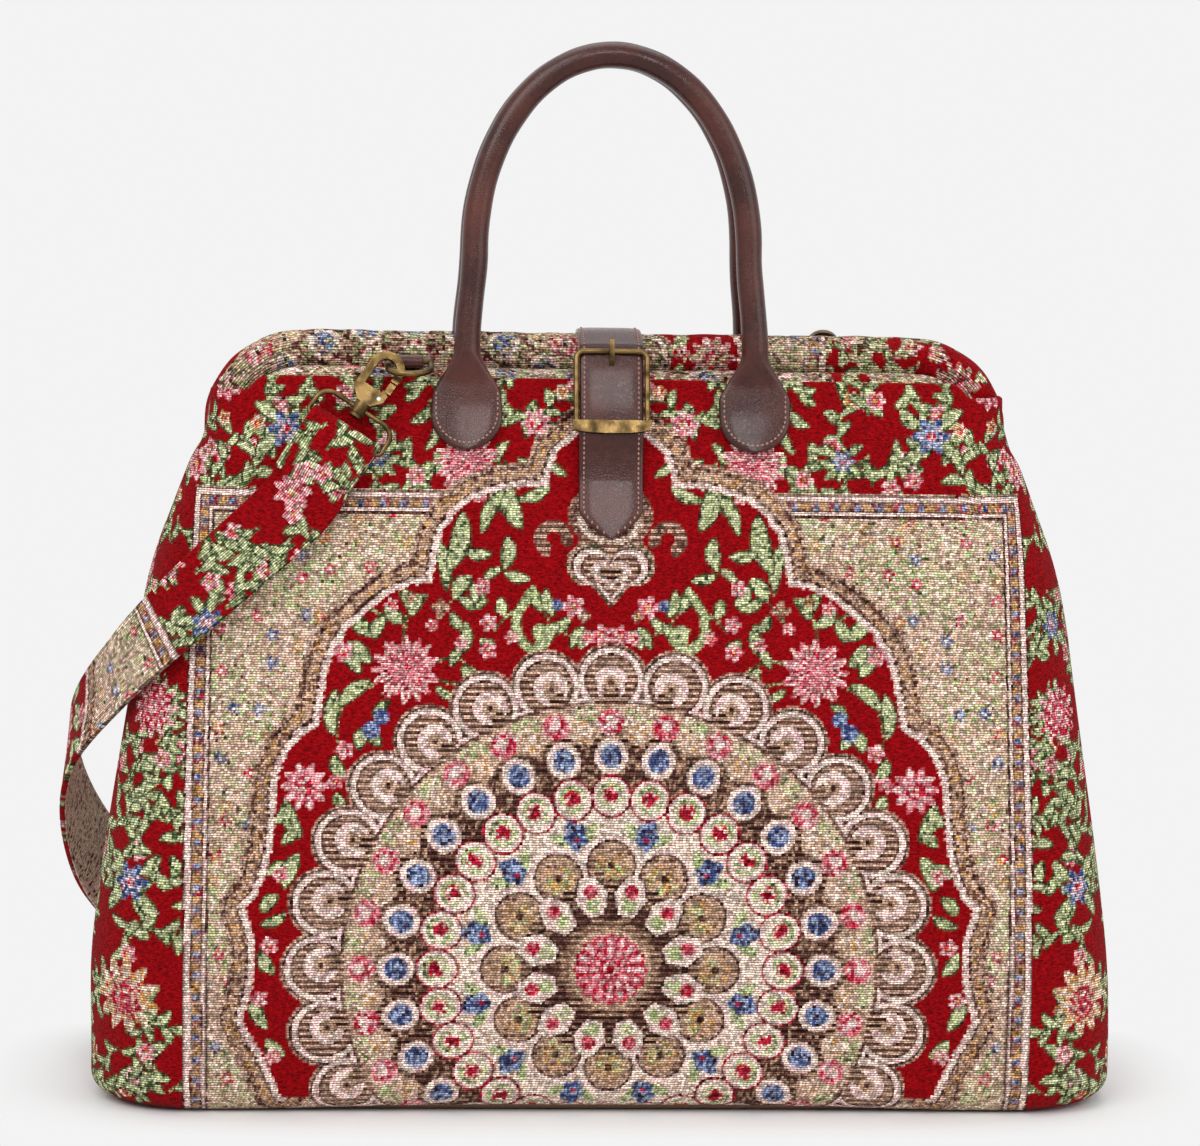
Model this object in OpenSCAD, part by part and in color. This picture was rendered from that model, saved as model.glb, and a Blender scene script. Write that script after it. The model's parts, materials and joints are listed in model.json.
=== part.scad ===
// Carpet bag with a hinged rod mouth, rolled leather handles, a buckled belt
// and a clip-on shoulder strap. Millimetres, +Z up, the front faces -Y and the
// base stands on z = 0. Built closed, as it stands when packed and buckled.

/* [Body] */
// Width across the base
body_w = 448; // [430:1:470]
// Depth from front to back at the base
body_d = 164; // [156:1:176]
// Thickness of the carpet cloth with its bonded lining
cloth_t = 3; // [2.4:0.1:3.2]
// Radius of the upright corners
corner_r = 40; // [32:1:48]
// Radius of the soft edge round the base
base_edge_r = 12; // [10:1:16]
// How far the front and back swell outwards
belly = 4; // [0:0.5:7]
// Angle at which the upper front and back lean inwards
lean = 17; // [16:0.25:18]
// Height at which the sides start to close towards the mouth
shoulder_z = 225; // [215:1:232]
// How far the sides have come in at that height
shoulder_in = 21; // [16:1:26]

/* [Mouth] */
// Height of the front seam, where the front panel ends
seam_z = 313; // [308:1:318]
// Height of the side seams' top ends
side_top_z = 284; // [280:1:288]
// How far each end of the mouth lies in from the side of the base
mouth_in = 43; // [40:1:48]
// Diameter of the mouth rods
rod_d = 7; // [6:0.5:8]
// Diameter of the cloth sleeve rolled round a rod
sleeve_d = 17; // [16:0.25:17.25]
// How much higher the rear roll stands than the front one
roll_step = 14; // [13.5:0.25:15]
// Thickness of the board that stiffens the base
board_t = 2.5; // [2:0.5:4]

/* [Leather] */
// Half the distance between a handle's two legs
handle_half = 63; // [58:1:66]
// Diameter of the rolled handle
handle_d = 11.5; // [10:0.5:12.5]
// Height of the handle's top above the floor
handle_top = 461; // [440:1:480]
// Width of the stitched handle tab
tab_w = 31; // [27:1:32]
// Width of the belt
belt_w = 28; // [25:0.5:29]
// Thickness of the belt
belt_t = 2.8; // [2.4:0.1:2.9]
// Length of the belt that hangs below the front seam
belt_drop = 71; // [62:1:82]

/* [Strap] */
// Width of the shoulder strap
strap_w = 34; // [30:0.5:34.5]
// Thickness of the shoulder strap
strap_t = 3; // [2.6:0.1:3.1]
// Wire thickness of the dee rings
dee_wire = 2.8; // [2.4:0.1:2.9]
// Angle of the hook's axis from upright
hook_tilt = 33; // [28:1:38]

/* [Fits] */
// Gap left between pieces that are sewn or laid together
fit = 0.3; // [0.25:0.05:0.35]
// Radial gap of a pin in its bore
pin_gap = 0.05; // [0.03:0.01:0.08]

/* [Hidden] */
$fn = 48;
cl = cos(lean);
sl = sin(lean);
tl = tan(lean);
belly_z = 120;
// half-depth of the bag at the front seam: a sleeve, two cloths and room to spare
seam_y = sleeve_d + 2.3;
rear_rise = roll_step - 1;
// half-length of the mouth, and of the rods' straight part that is left between their corners
front_corner = 19.5;
rear_corner = front_corner + roll_step;
mouth_half = body_w / 2 - mouth_in;
rod_half = mouth_half - rear_corner - sleeve_d / 2 - cloth_t - 1;
// centre lines of the two rolls
front_z = seam_z - 3.5;
rear_z = front_z + roll_step;
front_y = -(plane_y(front_z) - cloth_t - (fit + sleeve_d / 2) / cl);
rear_y = plane_y(rear_z) - cloth_t - (fit + sleeve_d / 2) / cl;
corner_z = side_top_z + 14;
sleeve_low = side_top_z - 2;
rod_low = side_top_z - 4;
hinge_z = side_top_z - 16;
hinge_y = (front_y + rear_y) / 2;
hinge_x = rod_half + (front_corner + rear_corner) / 2;
eye_d = 12;
eye_t = 2.5;
rivet_d = 3;
// stations of the panel grid
low_rows = [cloth_t, 4.5, 7, base_edge_r, 40, 80, 120, 150, 175, 200, shoulder_z, 243];
high_rows = [0.2, 0.4, 0.6, 0.8, 1];
n_side = 2;
n_arc = 6;
n_front = 16;
// handle
tab_t = 4;
tab_low = -31;
arch_z = handle_top - handle_d / 2 - 85;
// belt, buckle and chape, in the front panel's own plane
buckle_h = 9;
bar_s = -6;
bar_h = 2.35;
frame_x = belt_w / 2 + 1.5;
keeper_s = -21.5;
// dee rings: half-width of the wire's centre line and length of the straight sides
dee_half = 8 + dee_wire / 2;
dee_side = 11;
dee_dip = 12;
// room between a handle's leg and the ring beside it
ring_room = 9.85;
dee_x = -(handle_half + handle_d / 2 + ring_room + dee_half);
tab_in = dee_wire / 2 + 0.2;
tab_out = 3;
front_bar = [dee_x, -(seam_y - 4.8), seam_z + 7.5];
rear_bar = [-dee_x, seam_y - 1.8, seam_z + rear_rise + 3.5];
front_hook_h = 6.5;
rear_hook_h = 10.5;
// hook, gate and wire loop
wire_z = 19.4;
loop_wire = 2.2;
loop_half = strap_w / 2 + loop_wire / 2 + 0.5;
loop_z = -16;
pivot_x = 4.6;
pivot_z = 5;
pin_d = 1.8;

carpet_red = [0.46, 0.13, 0.11];
carpet_tan = [0.62, 0.50, 0.34];
leather_brown = [0.20, 0.11, 0.07];
brass_old = [0.62, 0.47, 0.24];
steel_grey = [0.62, 0.63, 0.65];
board_grey = [0.55, 0.50, 0.44];

// Small helpers

function unit(v) = v / norm(v);
function lerp(a, b, t) = a + (b - a) * t;
function smooth(t) = let (u = max(0, min(1, t))) u * u * (3 - 2 * u);
function soft_min(a, b, k) = let (h = max(k - abs(a - b), 0) / k) min(a, b) - h * h * k / 4;
function soft_max(a, b, k) = -soft_min(-a, -b, k);
function curve(a, b, c, d, t) =
    0.5 * (2 * b + (c - a) * t + (2 * a - 5 * b + 4 * c - d) * t * t
        + (3 * b - a - 3 * c + d) * t * t * t);
// a smooth line through the points of p, with n steps between neighbours
function spline(p, n) = concat(
    [for (i = [0 : len(p) - 2], k = [0 : n - 1])
        curve(p[max(i - 1, 0)], p[i], p[i + 1], p[min(i + 2, len(p) - 1)], k / n)],
    [p[len(p) - 1]]);

// a round bar from p to q
module rod(p, q, d) {
    v = q - p;
    translate(p)
        rotate([0, acos(v[2] / norm(v)), atan2(v[1], v[0])])
            cylinder(d = d, h = norm(v));
}

// one closed solid through a list of rings with equal counts of points
module skin(rings) {
    n = len(rings);
    m = len(rings[0]);
    polyhedron(
        points = [for (r = rings, p = r) p],
        faces = concat(
            [[for (i = [0 : m - 1]) i]],
            [for (j = [0 : n - 2], i = [0 : m - 1])
                let (a = j * m + i, b = j * m + (i + 1) % m) each [[a, a + m, b], [b, a + m, b + m]]],
            [[for (i = [m - 1 : -1 : 0]) (n - 1) * m + i]]),
        convexity = 8);
}

// The shape of the bag

function plane_y(z) = seam_y + (seam_z - z) * tl;
function edge_inset(z) =
    z < base_edge_r ? base_edge_r - sqrt(base_edge_r ^ 2 - (base_edge_r - z) ^ 2) : 0;
function half_depth(z) =
    soft_min(plane_y(z), body_d / 2 + belly * sin(180 * min(z, 2 * belly_z) / (2 * belly_z)), 14)
    - edge_inset(z);
function side_in(z) =
    let (low = shoulder_in * (z - 45) / (shoulder_z - 45),
         high = lerp(shoulder_in, mouth_in, (z - shoulder_z) / (side_top_z - shoulder_z)))
    soft_max(soft_max(low, 0, 4), high, 6);
function half_width(z) = body_w / 2 - side_in(min(z, side_top_z)) - edge_inset(z);

// front half of the outline at height z, from the right seam round to the left one
function section(z, off) =
    let (w = half_width(z) - off, d = half_depth(z) - off,
         r = min(corner_r, 0.8 * half_depth(z)) - off)
    concat(
        [for (i = [0 : n_side - 1]) [w, -(d - r) * i / n_side]],
        [for (i = [0 : n_arc - 1])
            let (a = 90 * i / n_arc) [w - r + r * cos(a), -(d - r) - r * sin(a)]],
        [for (i = [0 : n_front]) [lerp(w - r, r - w, i / n_front), -d]],
        [for (i = [1 : n_arc])
            let (a = 90 + 90 * i / n_arc) [r - w + r * cos(a), -(d - r) - r * sin(a)]],
        [for (i = [1 : n_side]) [-w, -(d - r) * (1 - i / n_side)]]);

// top edge of a panel above a point x along the mouth
function panel_top(x, rise) =
    let (level = rod_half + 15, f = max(0, abs(x) - level) / (mouth_half - level))
    corner_z + (seam_z + rise - corner_z) * sqrt(max(0, 1 - f * f));

// Places

// the plane of the leaning front: x across, -y outwards, z up along the cloth
module at_front() {
    translate([0, -seam_y, seam_z]) rotate([-lean, 0, 0]) children();
}
function front_point(x, h, s) = [x, -seam_y - h * cl + s * sl, seam_z + h * sl + s * cl];
function turned(p) = [-p[0], -p[1], p[2]];
// where the dee ring's side wire crosses the hook's plane, at h from the cloth
function wire_t(bar, h) =
    (h + (seam_y - abs(bar[1])) * cl - (bar[2] - seam_z) * sl) / cos(dee_dip + lean);
function wire_s(bar, h) =
    let (t = wire_t(bar, h))
    (seam_y - abs(bar[1]) - t * cos(dee_dip)) * sl + (bar[2] - seam_z - t * sin(dee_dip)) * cl;
wire_x = dee_x - dee_half;
// hook coordinates: x across, y through, z up the axis towards the bow
module at_left_hook() {
    at_front()
        translate([wire_x, -front_hook_h, wire_s(front_bar, front_hook_h)])
            rotate([0, hook_tilt, 0]) translate([0, 0, -wire_z]) children();
}
module at_right_hook() {
    rotate([0, 0, 180]) at_front()
        translate([wire_x, -rear_hook_h, wire_s(rear_bar, rear_hook_h)])
            rotate([0, hook_tilt, 0]) translate([0, 0, -wire_z]) children();
}
// middle of the wire loop's lower bar, as seen from its own side of the bag
function loop_bar(bar, h) =
    let (reach = wire_z - loop_z)
    front_point(wire_x - reach * sin(hook_tilt), h, wire_s(bar, h) - reach * cos(hook_tilt));
down_way = [-sin(hook_tilt), -cos(hook_tilt) * sl, -cos(hook_tilt) * cl];
out_way = [0, -cl, sl];

// Cloth

// one panel: base edge to mouth, wrapped round both corners to the side seams
module panel(rise) {
    nc = 2 * n_side + 2 * n_arc + n_front + 1;
    nl = len(low_rows);
    nr = nl + len(high_rows);
    blend = low_rows[nl - 1];
    top_x = [for (p = section(seam_z, 0)) p[0]];
    row_z = [for (r = [0 : nr - 1]) [for (c = [0 : nc - 1])
        r < nl ? low_rows[r] : lerp(blend, panel_top(top_x[c], rise), high_rows[r - nl])]];
    outer = [for (r = [0 : nr - 1], c = [0 : nc - 1])
        let (p = section(row_z[r][c], 0)[c]) [p[0], p[1], row_z[r][c]]];
    inner = [for (r = [0 : nr - 1], c = [0 : nc - 1])
        let (p = section(row_z[r][c], cloth_t)[c]) [p[0], p[1], row_z[r][c]]];
    k = nr * nc;
    top = (nr - 1) * nc;
    polyhedron(
        points = concat(outer, inner),
        faces = concat(
            [for (r = [0 : nr - 2], c = [0 : nc - 2])
                let (a = r * nc + c, b = a + nc)
                each [[a, a + 1, b + 1], [a, b + 1, b],
                    [k + a, k + b + 1, k + a + 1], [k + a, k + b, k + b + 1]]],
            [for (c = [0 : nc - 2])
                each [[c, k + c, c + 1], [c + 1, k + c, k + c + 1],
                    [top + c, top + c + 1, k + top + c], [top + c + 1, k + top + c + 1, k + top + c]]],
            [for (r = [0 : nr - 2])
                let (a = r * nc, b = a + nc, e = a + nc - 1, f = e + nc)
                each [[a, b, k + a], [b, k + b, k + a], [e, k + e, f], [f, k + e, k + f]]]),
        convexity = 8);
}
module front_panel() color(carpet_red) panel(0);
module rear_panel() color(carpet_red) mirror([0, 1, 0]) panel(rear_rise);

// flat plate with the bag's own base outline, drawn in by off
module base_plate(off, low, t) {
    w = half_width(cloth_t) - off;
    d = half_depth(cloth_t) - off;
    r = corner_r - off;
    translate([0, 0, low]) linear_extrude(t) union() {
        square([2 * (w - r), 2 * d], center = true);
        square([2 * w, 2 * (d - r)], center = true);
        for (sx = [-1, 1], sy = [-1, 1]) translate([sx * (w - r), sy * (d - r)]) circle(r);
    }
}
module base_panel() color(carpet_red) base_plate(0, 0, cloth_t);
module base_board() color(board_grey) base_plate(cloth_t + fit + 0.2, cloth_t, board_t);

// a round bar bent into an upside-down U: across at top, round two corners, down to low
module u_rod(top, r, low, d) {
    translate([-rod_half, 0, top]) rotate([0, 90, 0]) cylinder(d = d, h = 2 * rod_half);
    for (s = [-1, 1]) {
        translate([s * rod_half, 0, top - r]) rotate([90, 0, 0]) rotate([0, 0, s > 0 ? 0 : 90])
            rotate_extrude(angle = 90) translate([r, 0]) circle(d = d);
        translate([s * (rod_half + r), 0, low]) cylinder(d = d, h = top - r - low);
    }
}
module sleeve(y, z, r) {
    translate([0, y, 0]) difference() {
        u_rod(z, r, sleeve_low, sleeve_d);
        u_rod(z, r, sleeve_low - 1, rod_d + 2 * fit);
    }
}
module front_sleeve() color(carpet_tan) sleeve(front_y, front_z, front_corner);
module rear_sleeve() color(carpet_tan) sleeve(rear_y, rear_z, rear_corner);

// Mouth frame

// mouth rod with a flattened eye at each leg's end; way is +1 where the eye lies inwards
module mouth_rod(y, z, r, way) {
    translate([0, y, 0]) u_rod(z, r, rod_low, rod_d);
    for (s = [-1, 1]) {
        eye_x = s * (hinge_x - way * (eye_t / 2 + 0.1));
        hull() {
            translate([s * (rod_half + r), y, rod_low - 1]) cylinder(d = rod_d - 0.6, h = 3);
            translate([eye_x - eye_t / 2 + 0.1, hinge_y - 3.8, hinge_z + 4]) cube([eye_t - 0.2, 7.6, 1.5]);
        }
        difference() {
            union() {
                translate([eye_x - eye_t / 2, hinge_y, hinge_z]) rotate([0, 90, 0])
                    cylinder(d = eye_d, h = eye_t);
                translate([eye_x - eye_t / 2, hinge_y - 4, hinge_z]) cube([eye_t, 8, 5]);
            }
            translate([eye_x - eye_t, hinge_y, hinge_z]) rotate([0, 90, 0])
                cylinder(d = rivet_d + 2 * pin_gap, h = 2 * eye_t);
        }
    }
}
module front_frame() color(steel_grey) mouth_rod(front_y, front_z, front_corner, 1);
module rear_frame() color(steel_grey) mouth_rod(rear_y, rear_z, rear_corner, -1);

module hinge_rivets() color(steel_grey) {
    reach = eye_t + 0.15;
    for (s = [-1, 1]) translate([s * hinge_x, hinge_y, hinge_z]) rotate([0, 90, 0]) {
        translate([0, 0, -reach - 0.6]) cylinder(d = rivet_d, h = 2 * reach + 1.2);
        translate([0, 0, reach]) cylinder(d = 2 * rivet_d, h = 1.2);
        translate([0, 0, -reach - 1.2]) cylinder(d = 2 * rivet_d, h = 1.2);
    }
}

// Handles

// how far forward the handle's middle is at height z: along the cloth, then upright
function handle_y(z) =
    soft_min(-seam_y - (fit + tab_t / 2) / cl + (z - seam_z) * tl,
             -seam_y - 3.6 + (z - seam_z) * 0.11, 3);
// stations of the left half: x, z, half-width, half-thickness, squareness
function handle_half_path() =
    let (tw = tab_w / 2, hd = handle_d / 2)
    concat(
        [for (u = [0.25, 1.2, 3, 6, 10, tw, 20])
            [-handle_half, seam_z + (tab_low + u) * cl,
             u < tw ? tw * sqrt(1 - (1 - u / tw) ^ 2) : tw, tab_t / 2, 5]],
        [for (s = [-8, -4, 0, 4, 8, 12, 16])
            let (k = smooth((s + 9) / 23), b = smooth((s + 2) / 16))
            [-handle_half, seam_z + s * cl, lerp(tw, hd, k), lerp(tab_t / 2, hd, b), lerp(5, 2, b)]],
        [for (t = [0.25, 0.6]) [-lerp(handle_half, handle_half - 3, smooth(t)),
            lerp(seam_z + 16 * cl, arch_z, t), hd, hd, 2]],
        [for (a = [0 : 7.5 : 89]) [-(handle_half - 3) * cos(a), arch_z + 85 * sin(a), hd, hd, 2]]);
module handle() {
    half = handle_half_path();
    n = len(half);
    path = concat(half, [[0, arch_z + 85, handle_d / 2, handle_d / 2, 2]],
        [for (i = [n - 1 : -1 : 0]) [-half[i][0], half[i][1], half[i][2], half[i][3], half[i][4]]]);
    mid = [for (p = path) [p[0], handle_y(p[1]), p[1]]];
    last = len(mid) - 1;
    m = 14;
    skin([for (i = [0 : last])
        let (way = unit(mid[min(i + 1, last)] - mid[max(i - 1, 0)]),
             wide = unit(cross([0, -1, 0], way)), thick = cross(way, wide), p = path[i])
        [for (j = [0 : m - 1])
            let (c = cos(360 * j / m), s = sin(360 * j / m), e = 2 / p[4])
            mid[i] + wide * p[2] * sign(c) * pow(abs(c), e) + thick * p[3] * sign(s) * pow(abs(s), e)]]);
}
module front_handle() color(leather_brown) handle();
module rear_handle() color(leather_brown) mirror([0, 1, 0]) handle();

// Belt and buckle

// outline of a band of thickness t along the line mid
function band(mid, t) =
    let (last = len(mid) - 1,
         side = [for (i = [0 : last])
             let (v = unit(mid[min(i + 1, last)] - mid[max(i - 1, 0)])) [v[1], -v[0]] * t / 2])
    concat([for (i = [0 : last]) mid[i] + side[i]], [for (i = [last : -1 : 0]) mid[i] - side[i]]);
// places in the plane of depth and height, h from the cloth and s up it
function front_spot(h, s) = let (p = front_point(0, h, s)) [p[1], p[2]];
function rear_spot(h, s) = let (p = front_point(0, h, s)) [-p[1], p[2]];
// middle line of the belt, from its rear end over the mouth and under the buckle to its tip
belt_low = fit + belt_t / 2;
belt_line = concat(
    [rear_spot(belt_low, -62)],
    spline([rear_spot(belt_low, 3), rear_spot(belt_low, 9), [rear_y + 12.3, rear_z + 4.2],
        [rear_y + 8.2, rear_z + 9.2], [rear_y - 0.3, rear_z + sleeve_d / 2 + belt_t / 2 + 0.6],
        [rear_y - 10.3, rear_z + 9.7], [front_y - 8, rear_z + 6.5], front_spot(6.1, 12),
        front_spot(7, -2), front_spot(6.1, keeper_s), front_spot(3.4, -33),
        front_spot(belt_low + 0.1, -43), front_spot(belt_low, -50)], 5),
    [front_spot(belt_low, -belt_drop)]);
module belt_strap() color(leather_brown) difference() {
    rotate([90, 0, 90]) translate([0, 0, -belt_w / 2]) linear_extrude(belt_w)
        polygon(band(belt_line, belt_t));
    at_front() {
        for (s = [-1, 1]) translate([0, 5, 0]) rotate([90, 0, 0]) linear_extrude(12)
            polygon([[s * 1.5, -belt_drop - 1], [s * belt_w, -belt_drop - 1],
                [s * belt_w, 16 - belt_drop], [s * belt_w / 2, 13 - belt_drop], [s * 1.5, 0.5 - belt_drop]]);
        translate([-1.7, -12, 1.2]) cube([3.4, 10, 7.4]);
    }
}
module buckle_frame() color(brass_old) at_front() {
    wire = 2.4;
    low = keeper_s + 2;
    for (s = [-1, 1]) {
        rod([s * frame_x, -buckle_h, low - 1], [s * frame_x, -buckle_h, 8], wire);
        translate([s * (frame_x - 3.5), -buckle_h, 8]) rotate([90, 0, 0]) rotate([0, 0, s > 0 ? 0 : 90])
            rotate_extrude(angle = 90) translate([3.5, 0]) circle(d = wire);
        translate([s * frame_x - 1, -buckle_h, bar_s - 1.6]) cube([2, buckle_h - 1, 3.2]);
    }
    rod([3.5 - frame_x, -buckle_h, 11.5], [frame_x - 3.5, -buckle_h, 11.5], wire);
    rod([-frame_x, -bar_h, bar_s], [frame_x, -bar_h, bar_s], 2);
    translate([0, 1.3 - buckle_h, 0]) rotate([90, 0, 0]) linear_extrude(2.7)
        polygon(concat([[frame_x + 1.4, low], [-frame_x - 1.4, low]],
            [for (i = [0 : 12]) let (x = (frame_x + 1.4) * (i / 6 - 1))
                [x, low - 4 - 1.8 * sqrt(1 - (x / (frame_x + 1.5)) ^ 2)]]));
}
module buckle_prong() color(brass_old) at_front() {
    difference() {
        union() {
            translate([-1.6, -bar_h, bar_s]) rotate([0, 90, 0]) cylinder(d = 4, h = 3.2);
            rotate([90, 0, 90]) translate([0, 0, -1.1]) linear_extrude(2.2)
                polygon(band(spline([[-3.1, bar_s + 1.2], [-3, -1], [-3.3, 2.2], [-7.2, 5.4],
                    [-11, 8.6], [-11.55, 11.5], [-11.4, 16]], 4), 2.2));
        }
        translate([-2, -bar_h, bar_s]) rotate([0, 90, 0]) cylinder(d = 2 + 2 * pin_gap, h = 4);
    }
}
module buckle_chape() color(leather_brown) at_front() difference() {
    rotate([90, 0, 90]) translate([0, 0, -12]) linear_extrude(24) difference() {
        union() {
            translate([-bar_h, bar_s]) circle(2.05);
            translate([-fit - 2.6, -25]) square([2.6, 25 + bar_s]);
        }
        translate([-bar_h, bar_s]) circle(1.1);
    }
    translate([-2, -8, bar_s - 3.2]) cube([4, 10, 8]);
}

// Dee rings and their leather tabs

module dee_ring() {
    rod([-dee_half, 0, 0], [dee_half, 0, 0], dee_wire);
    for (s = [-1, 1]) {
        translate([s * dee_half, 0, 0]) sphere(d = dee_wire);
        rod([s * dee_half, 0, 0], [s * dee_half, -dee_side, 0], dee_wire);
    }
    translate([0, -dee_side, 0]) rotate([0, 0, 180]) rotate_extrude(angle = 180)
        translate([dee_half, 0]) circle(d = dee_wire);
}
module left_dee_ring() color(brass_old) translate(front_bar) rotate([dee_dip, 0, 0]) dee_ring();
module right_dee_ring() color(brass_old)
    translate(rear_bar) rotate([0, 0, 180]) rotate([dee_dip, 0, 0]) dee_ring();

// leather folded round the ring's bar, its tail reaching back to the rear roll
module ring_tab(tail) {
    rotate([90, 0, 90]) translate([0, 0, -6]) linear_extrude(12) difference() {
        union() {
            circle(tab_out);
            translate([0, -1.4]) square([tail, 2.8]);
        }
        circle(tab_in);
    }
}
// distance along depth from a bar to the rear roll, at the tail's nearer edge
function tail_room(bar, dz) = abs(rear_y - bar[1]) - sqrt((sleeve_d / 2) ^ 2 - dz ^ 2) - fit;
module left_ring_tab() color(leather_brown)
    translate(front_bar) ring_tab(tail_room(front_bar, max(0, abs(rear_z - front_bar[2]) - 1.4)));
module right_ring_tab() color(leather_brown)
    translate(rear_bar) rotate([0, 0, 180]) ring_tab(tail_room(rear_bar, abs(rear_bar[2] - rear_z) - 1.4));

// Swivel hooks

module hook() {
    difference() {
        translate([0, 1.8, 0]) rotate([90, 0, 0]) linear_extrude(3.6) union() {
            polygon([[-3.2, 0], [3.2, 0], [7.2, 4.5], [7.2, 8], [-8, 8], [-8, 4.5]]);
            translate([-8, 7.9]) square([3.4, 10.1]);
            translate([4.6, 14.5]) square([3.4, 3.5]);
            translate([0, 18]) difference() {
                circle(8);
                circle(4.6);
                translate([-9, -9]) square([18, 9]);
            }
        }
        translate([1.8, -1.1, 2]) cube([8, 2.2, 8]);
        translate([pivot_x, 3, pivot_z]) rotate([90, 0, 0]) cylinder(d = pin_d + 2 * pin_gap, h = 6);
    }
    translate([0, 0, -6]) cylinder(d = 4, h = 6.4);
    translate([0, 0, -7.2]) cylinder(d = 5.8, h = 1.45);
}
module left_hook() color(brass_old) at_left_hook() hook();
module right_hook() color(brass_old) at_right_hook() hook();

// sprung gate that closes the hook's mouth
module gate() {
    difference() {
        union() {
            translate([pivot_x, 0.3, pivot_z]) rotate([90, 0, 0]) cylinder(r = 2, h = 1.3);
            translate([4, -1, pivot_z]) cube([2.4, 1.3, 4.5]);
        }
        translate([pivot_x, 1, pivot_z]) rotate([90, 0, 0]) cylinder(d = pin_d + 2 * pin_gap, h = 3);
    }
    translate([4.8, -1.6, 9]) cube([3, 3.2, 4.8]);
}
module left_gate() color(brass_old) at_left_hook() gate();
module right_gate() color(brass_old) at_right_hook() gate();

module gate_pin() translate([pivot_x, 1.75, pivot_z]) rotate([90, 0, 0]) cylinder(d = pin_d, h = 3.5);
module left_gate_pin() color(steel_grey) at_left_hook() gate_pin();
module right_gate_pin() color(steel_grey) at_right_hook() gate_pin();

module gate_spring() translate([pivot_x, 1, pivot_z]) rotate([90, 0, 0]) difference() {
    cylinder(d = 4.4, h = 0.6);
    translate([0, 0, -1]) cylinder(d = pin_d + 0.3, h = 3);
}
module left_gate_spring() color(steel_grey) at_left_hook() gate_spring();
module right_gate_spring() color(steel_grey) at_right_hook() gate_spring();

// collar round the hook's stem with the wire loop that carries the strap
module strap_loop() {
    r = 2;
    shoulder = 6.5;
    top = -2.9;
    translate([0, 0, -5.5]) difference() {
        cylinder(d = 6.4, h = 5.2);
        translate([0, 0, -1]) cylinder(d = 4 + 2 * pin_gap, h = 8);
    }
    for (s = [-1, 1]) {
        rod([s * 2.6, 0, top], [s * (loop_half - shoulder), 0, top], loop_wire);
        translate([s * (loop_half - shoulder), 0, top - shoulder]) rotate([90, 0, 0])
            rotate([0, 0, s > 0 ? 0 : 90]) rotate_extrude(angle = 90)
                translate([shoulder, 0]) circle(d = loop_wire);
        rod([s * loop_half, 0, loop_z + r], [s * loop_half, 0, top - shoulder], loop_wire);
        translate([s * (loop_half - r), 0, loop_z + r]) rotate([90, 0, 0]) rotate([0, 0, s > 0 ? 270 : 180])
            rotate_extrude(angle = 90) translate([r, 0]) circle(d = loop_wire);
    }
    rod([r - loop_half, 0, loop_z], [loop_half - r, 0, loop_z], loop_wire);
}
module left_strap_loop() color(brass_old) at_left_hook() strap_loop();
module right_strap_loop() color(brass_old) at_right_hook() strap_loop();

// Shoulder strap

// the end folded round a loop's bar: place and outward direction, from tail to upper layer
function strap_end(bar, down, out) =
    let (r = loop_wire / 2 + 0.25 + strap_t / 2, lay = strap_t / 2 + 0.15,
         at = function (u, v) bar + down * u + out * v)
    concat(
        [[at(22, -lay), -out], [at(13, -lay), -out], [at(6, -lerp(lay, r, 0.4)), -out]],
        [for (a = [-90 : 30 : 90]) [at(-r * cos(a), r * sin(a)), out * sin(a) - down * cos(a)]],
        [[at(6, lerp(lay, r, 0.4)), out], [at(13, lay), out], [at(22, lay), out]]);
// places the strap passes on its way behind the bag, with the direction its face looks: beside the
// hooks it keeps its place from the ring's wire, above the shoulder it follows the leaning front
// and back, and below it follows the width and depth of the base
strap_x = 41.6 - wire_x;
strap_places = let (k = body_w / 448, d = body_d / 164, h = seam_z / 313) [
    [[-strap_x, -40.6 * h, 257 * h], [-0.15, -0.95, 0.28]],
    [[-178 * k, -53 * h, 222 * h], [-0.5, -0.83, 0.22]],
    [[-211 * k, -38 * h, 188 * h], [-0.86, -0.48, 0.12]], [[-236 * k, 0, 150 * h], [-1, 0, 0]],
    [[-234 * k, 45 * d, 105 * h], [-0.94, 0.25, 0.2]], [[-212 * k, 92 * d, 62 * h], [-0.7, 0.45, 0.55]],
    [[-160 * k, 118 * d, 26 * h], [-0.3, 0.5, 0.81]], [[-90 * k, 128 * d, 8 * h], [-0.05, 0.2, 0.98]],
    [[0, 132 * d, 3.5 * h], [0, 0, 1]], [[80 * k, 128 * d, 7 * h], [0.05, 0.2, 0.98]],
    [[strap_x - 1, 113 * d, 36 * h], [0.25, 0.8, 0.55]], [[strap_x + 21, 97 * d, 100 * h], [0.1, 0.97, 0.2]],
    [[strap_x + 16, 66 * h, 190 * h], [0, 0.96, 0.28]], [[strap_x, 46 * h, 257 * h], [0.05, 0.955, 0.29]]];
module shoulder_strap() color(carpet_red) {
    left = strap_end(loop_bar(front_bar, front_hook_h), down_way, out_way);
    right = strap_end(turned(loop_bar(rear_bar, rear_hook_h)), turned(down_way), turned(out_way));
    nl = len(left);
    route = concat([left[nl - 2], left[nl - 1]], strap_places, [right[nl - 1], right[nl - 2]]);
    flat = spline([for (p = route) concat(p[0], p[1])], 5);
    run = concat([for (i = [0 : nl - 3]) left[i]],
        [for (p = flat) [[p[0], p[1], p[2]], [p[3], p[4], p[5]]]],
        [for (i = [nl - 3 : -1 : 0]) right[i]]);
    last = len(run) - 1;
    skin([for (i = [0 : last])
        let (way = unit(run[min(i + 1, last)][0] - run[max(i - 1, 0)][0]),
             wide = unit(cross(run[i][1], way)), up = cross(way, wide), p = run[i][0],
             a = wide * strap_w / 2, b = up * strap_t / 2)
        [p - a - b, p + a - b, p + a + b, p - a + b]]);
}

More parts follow.
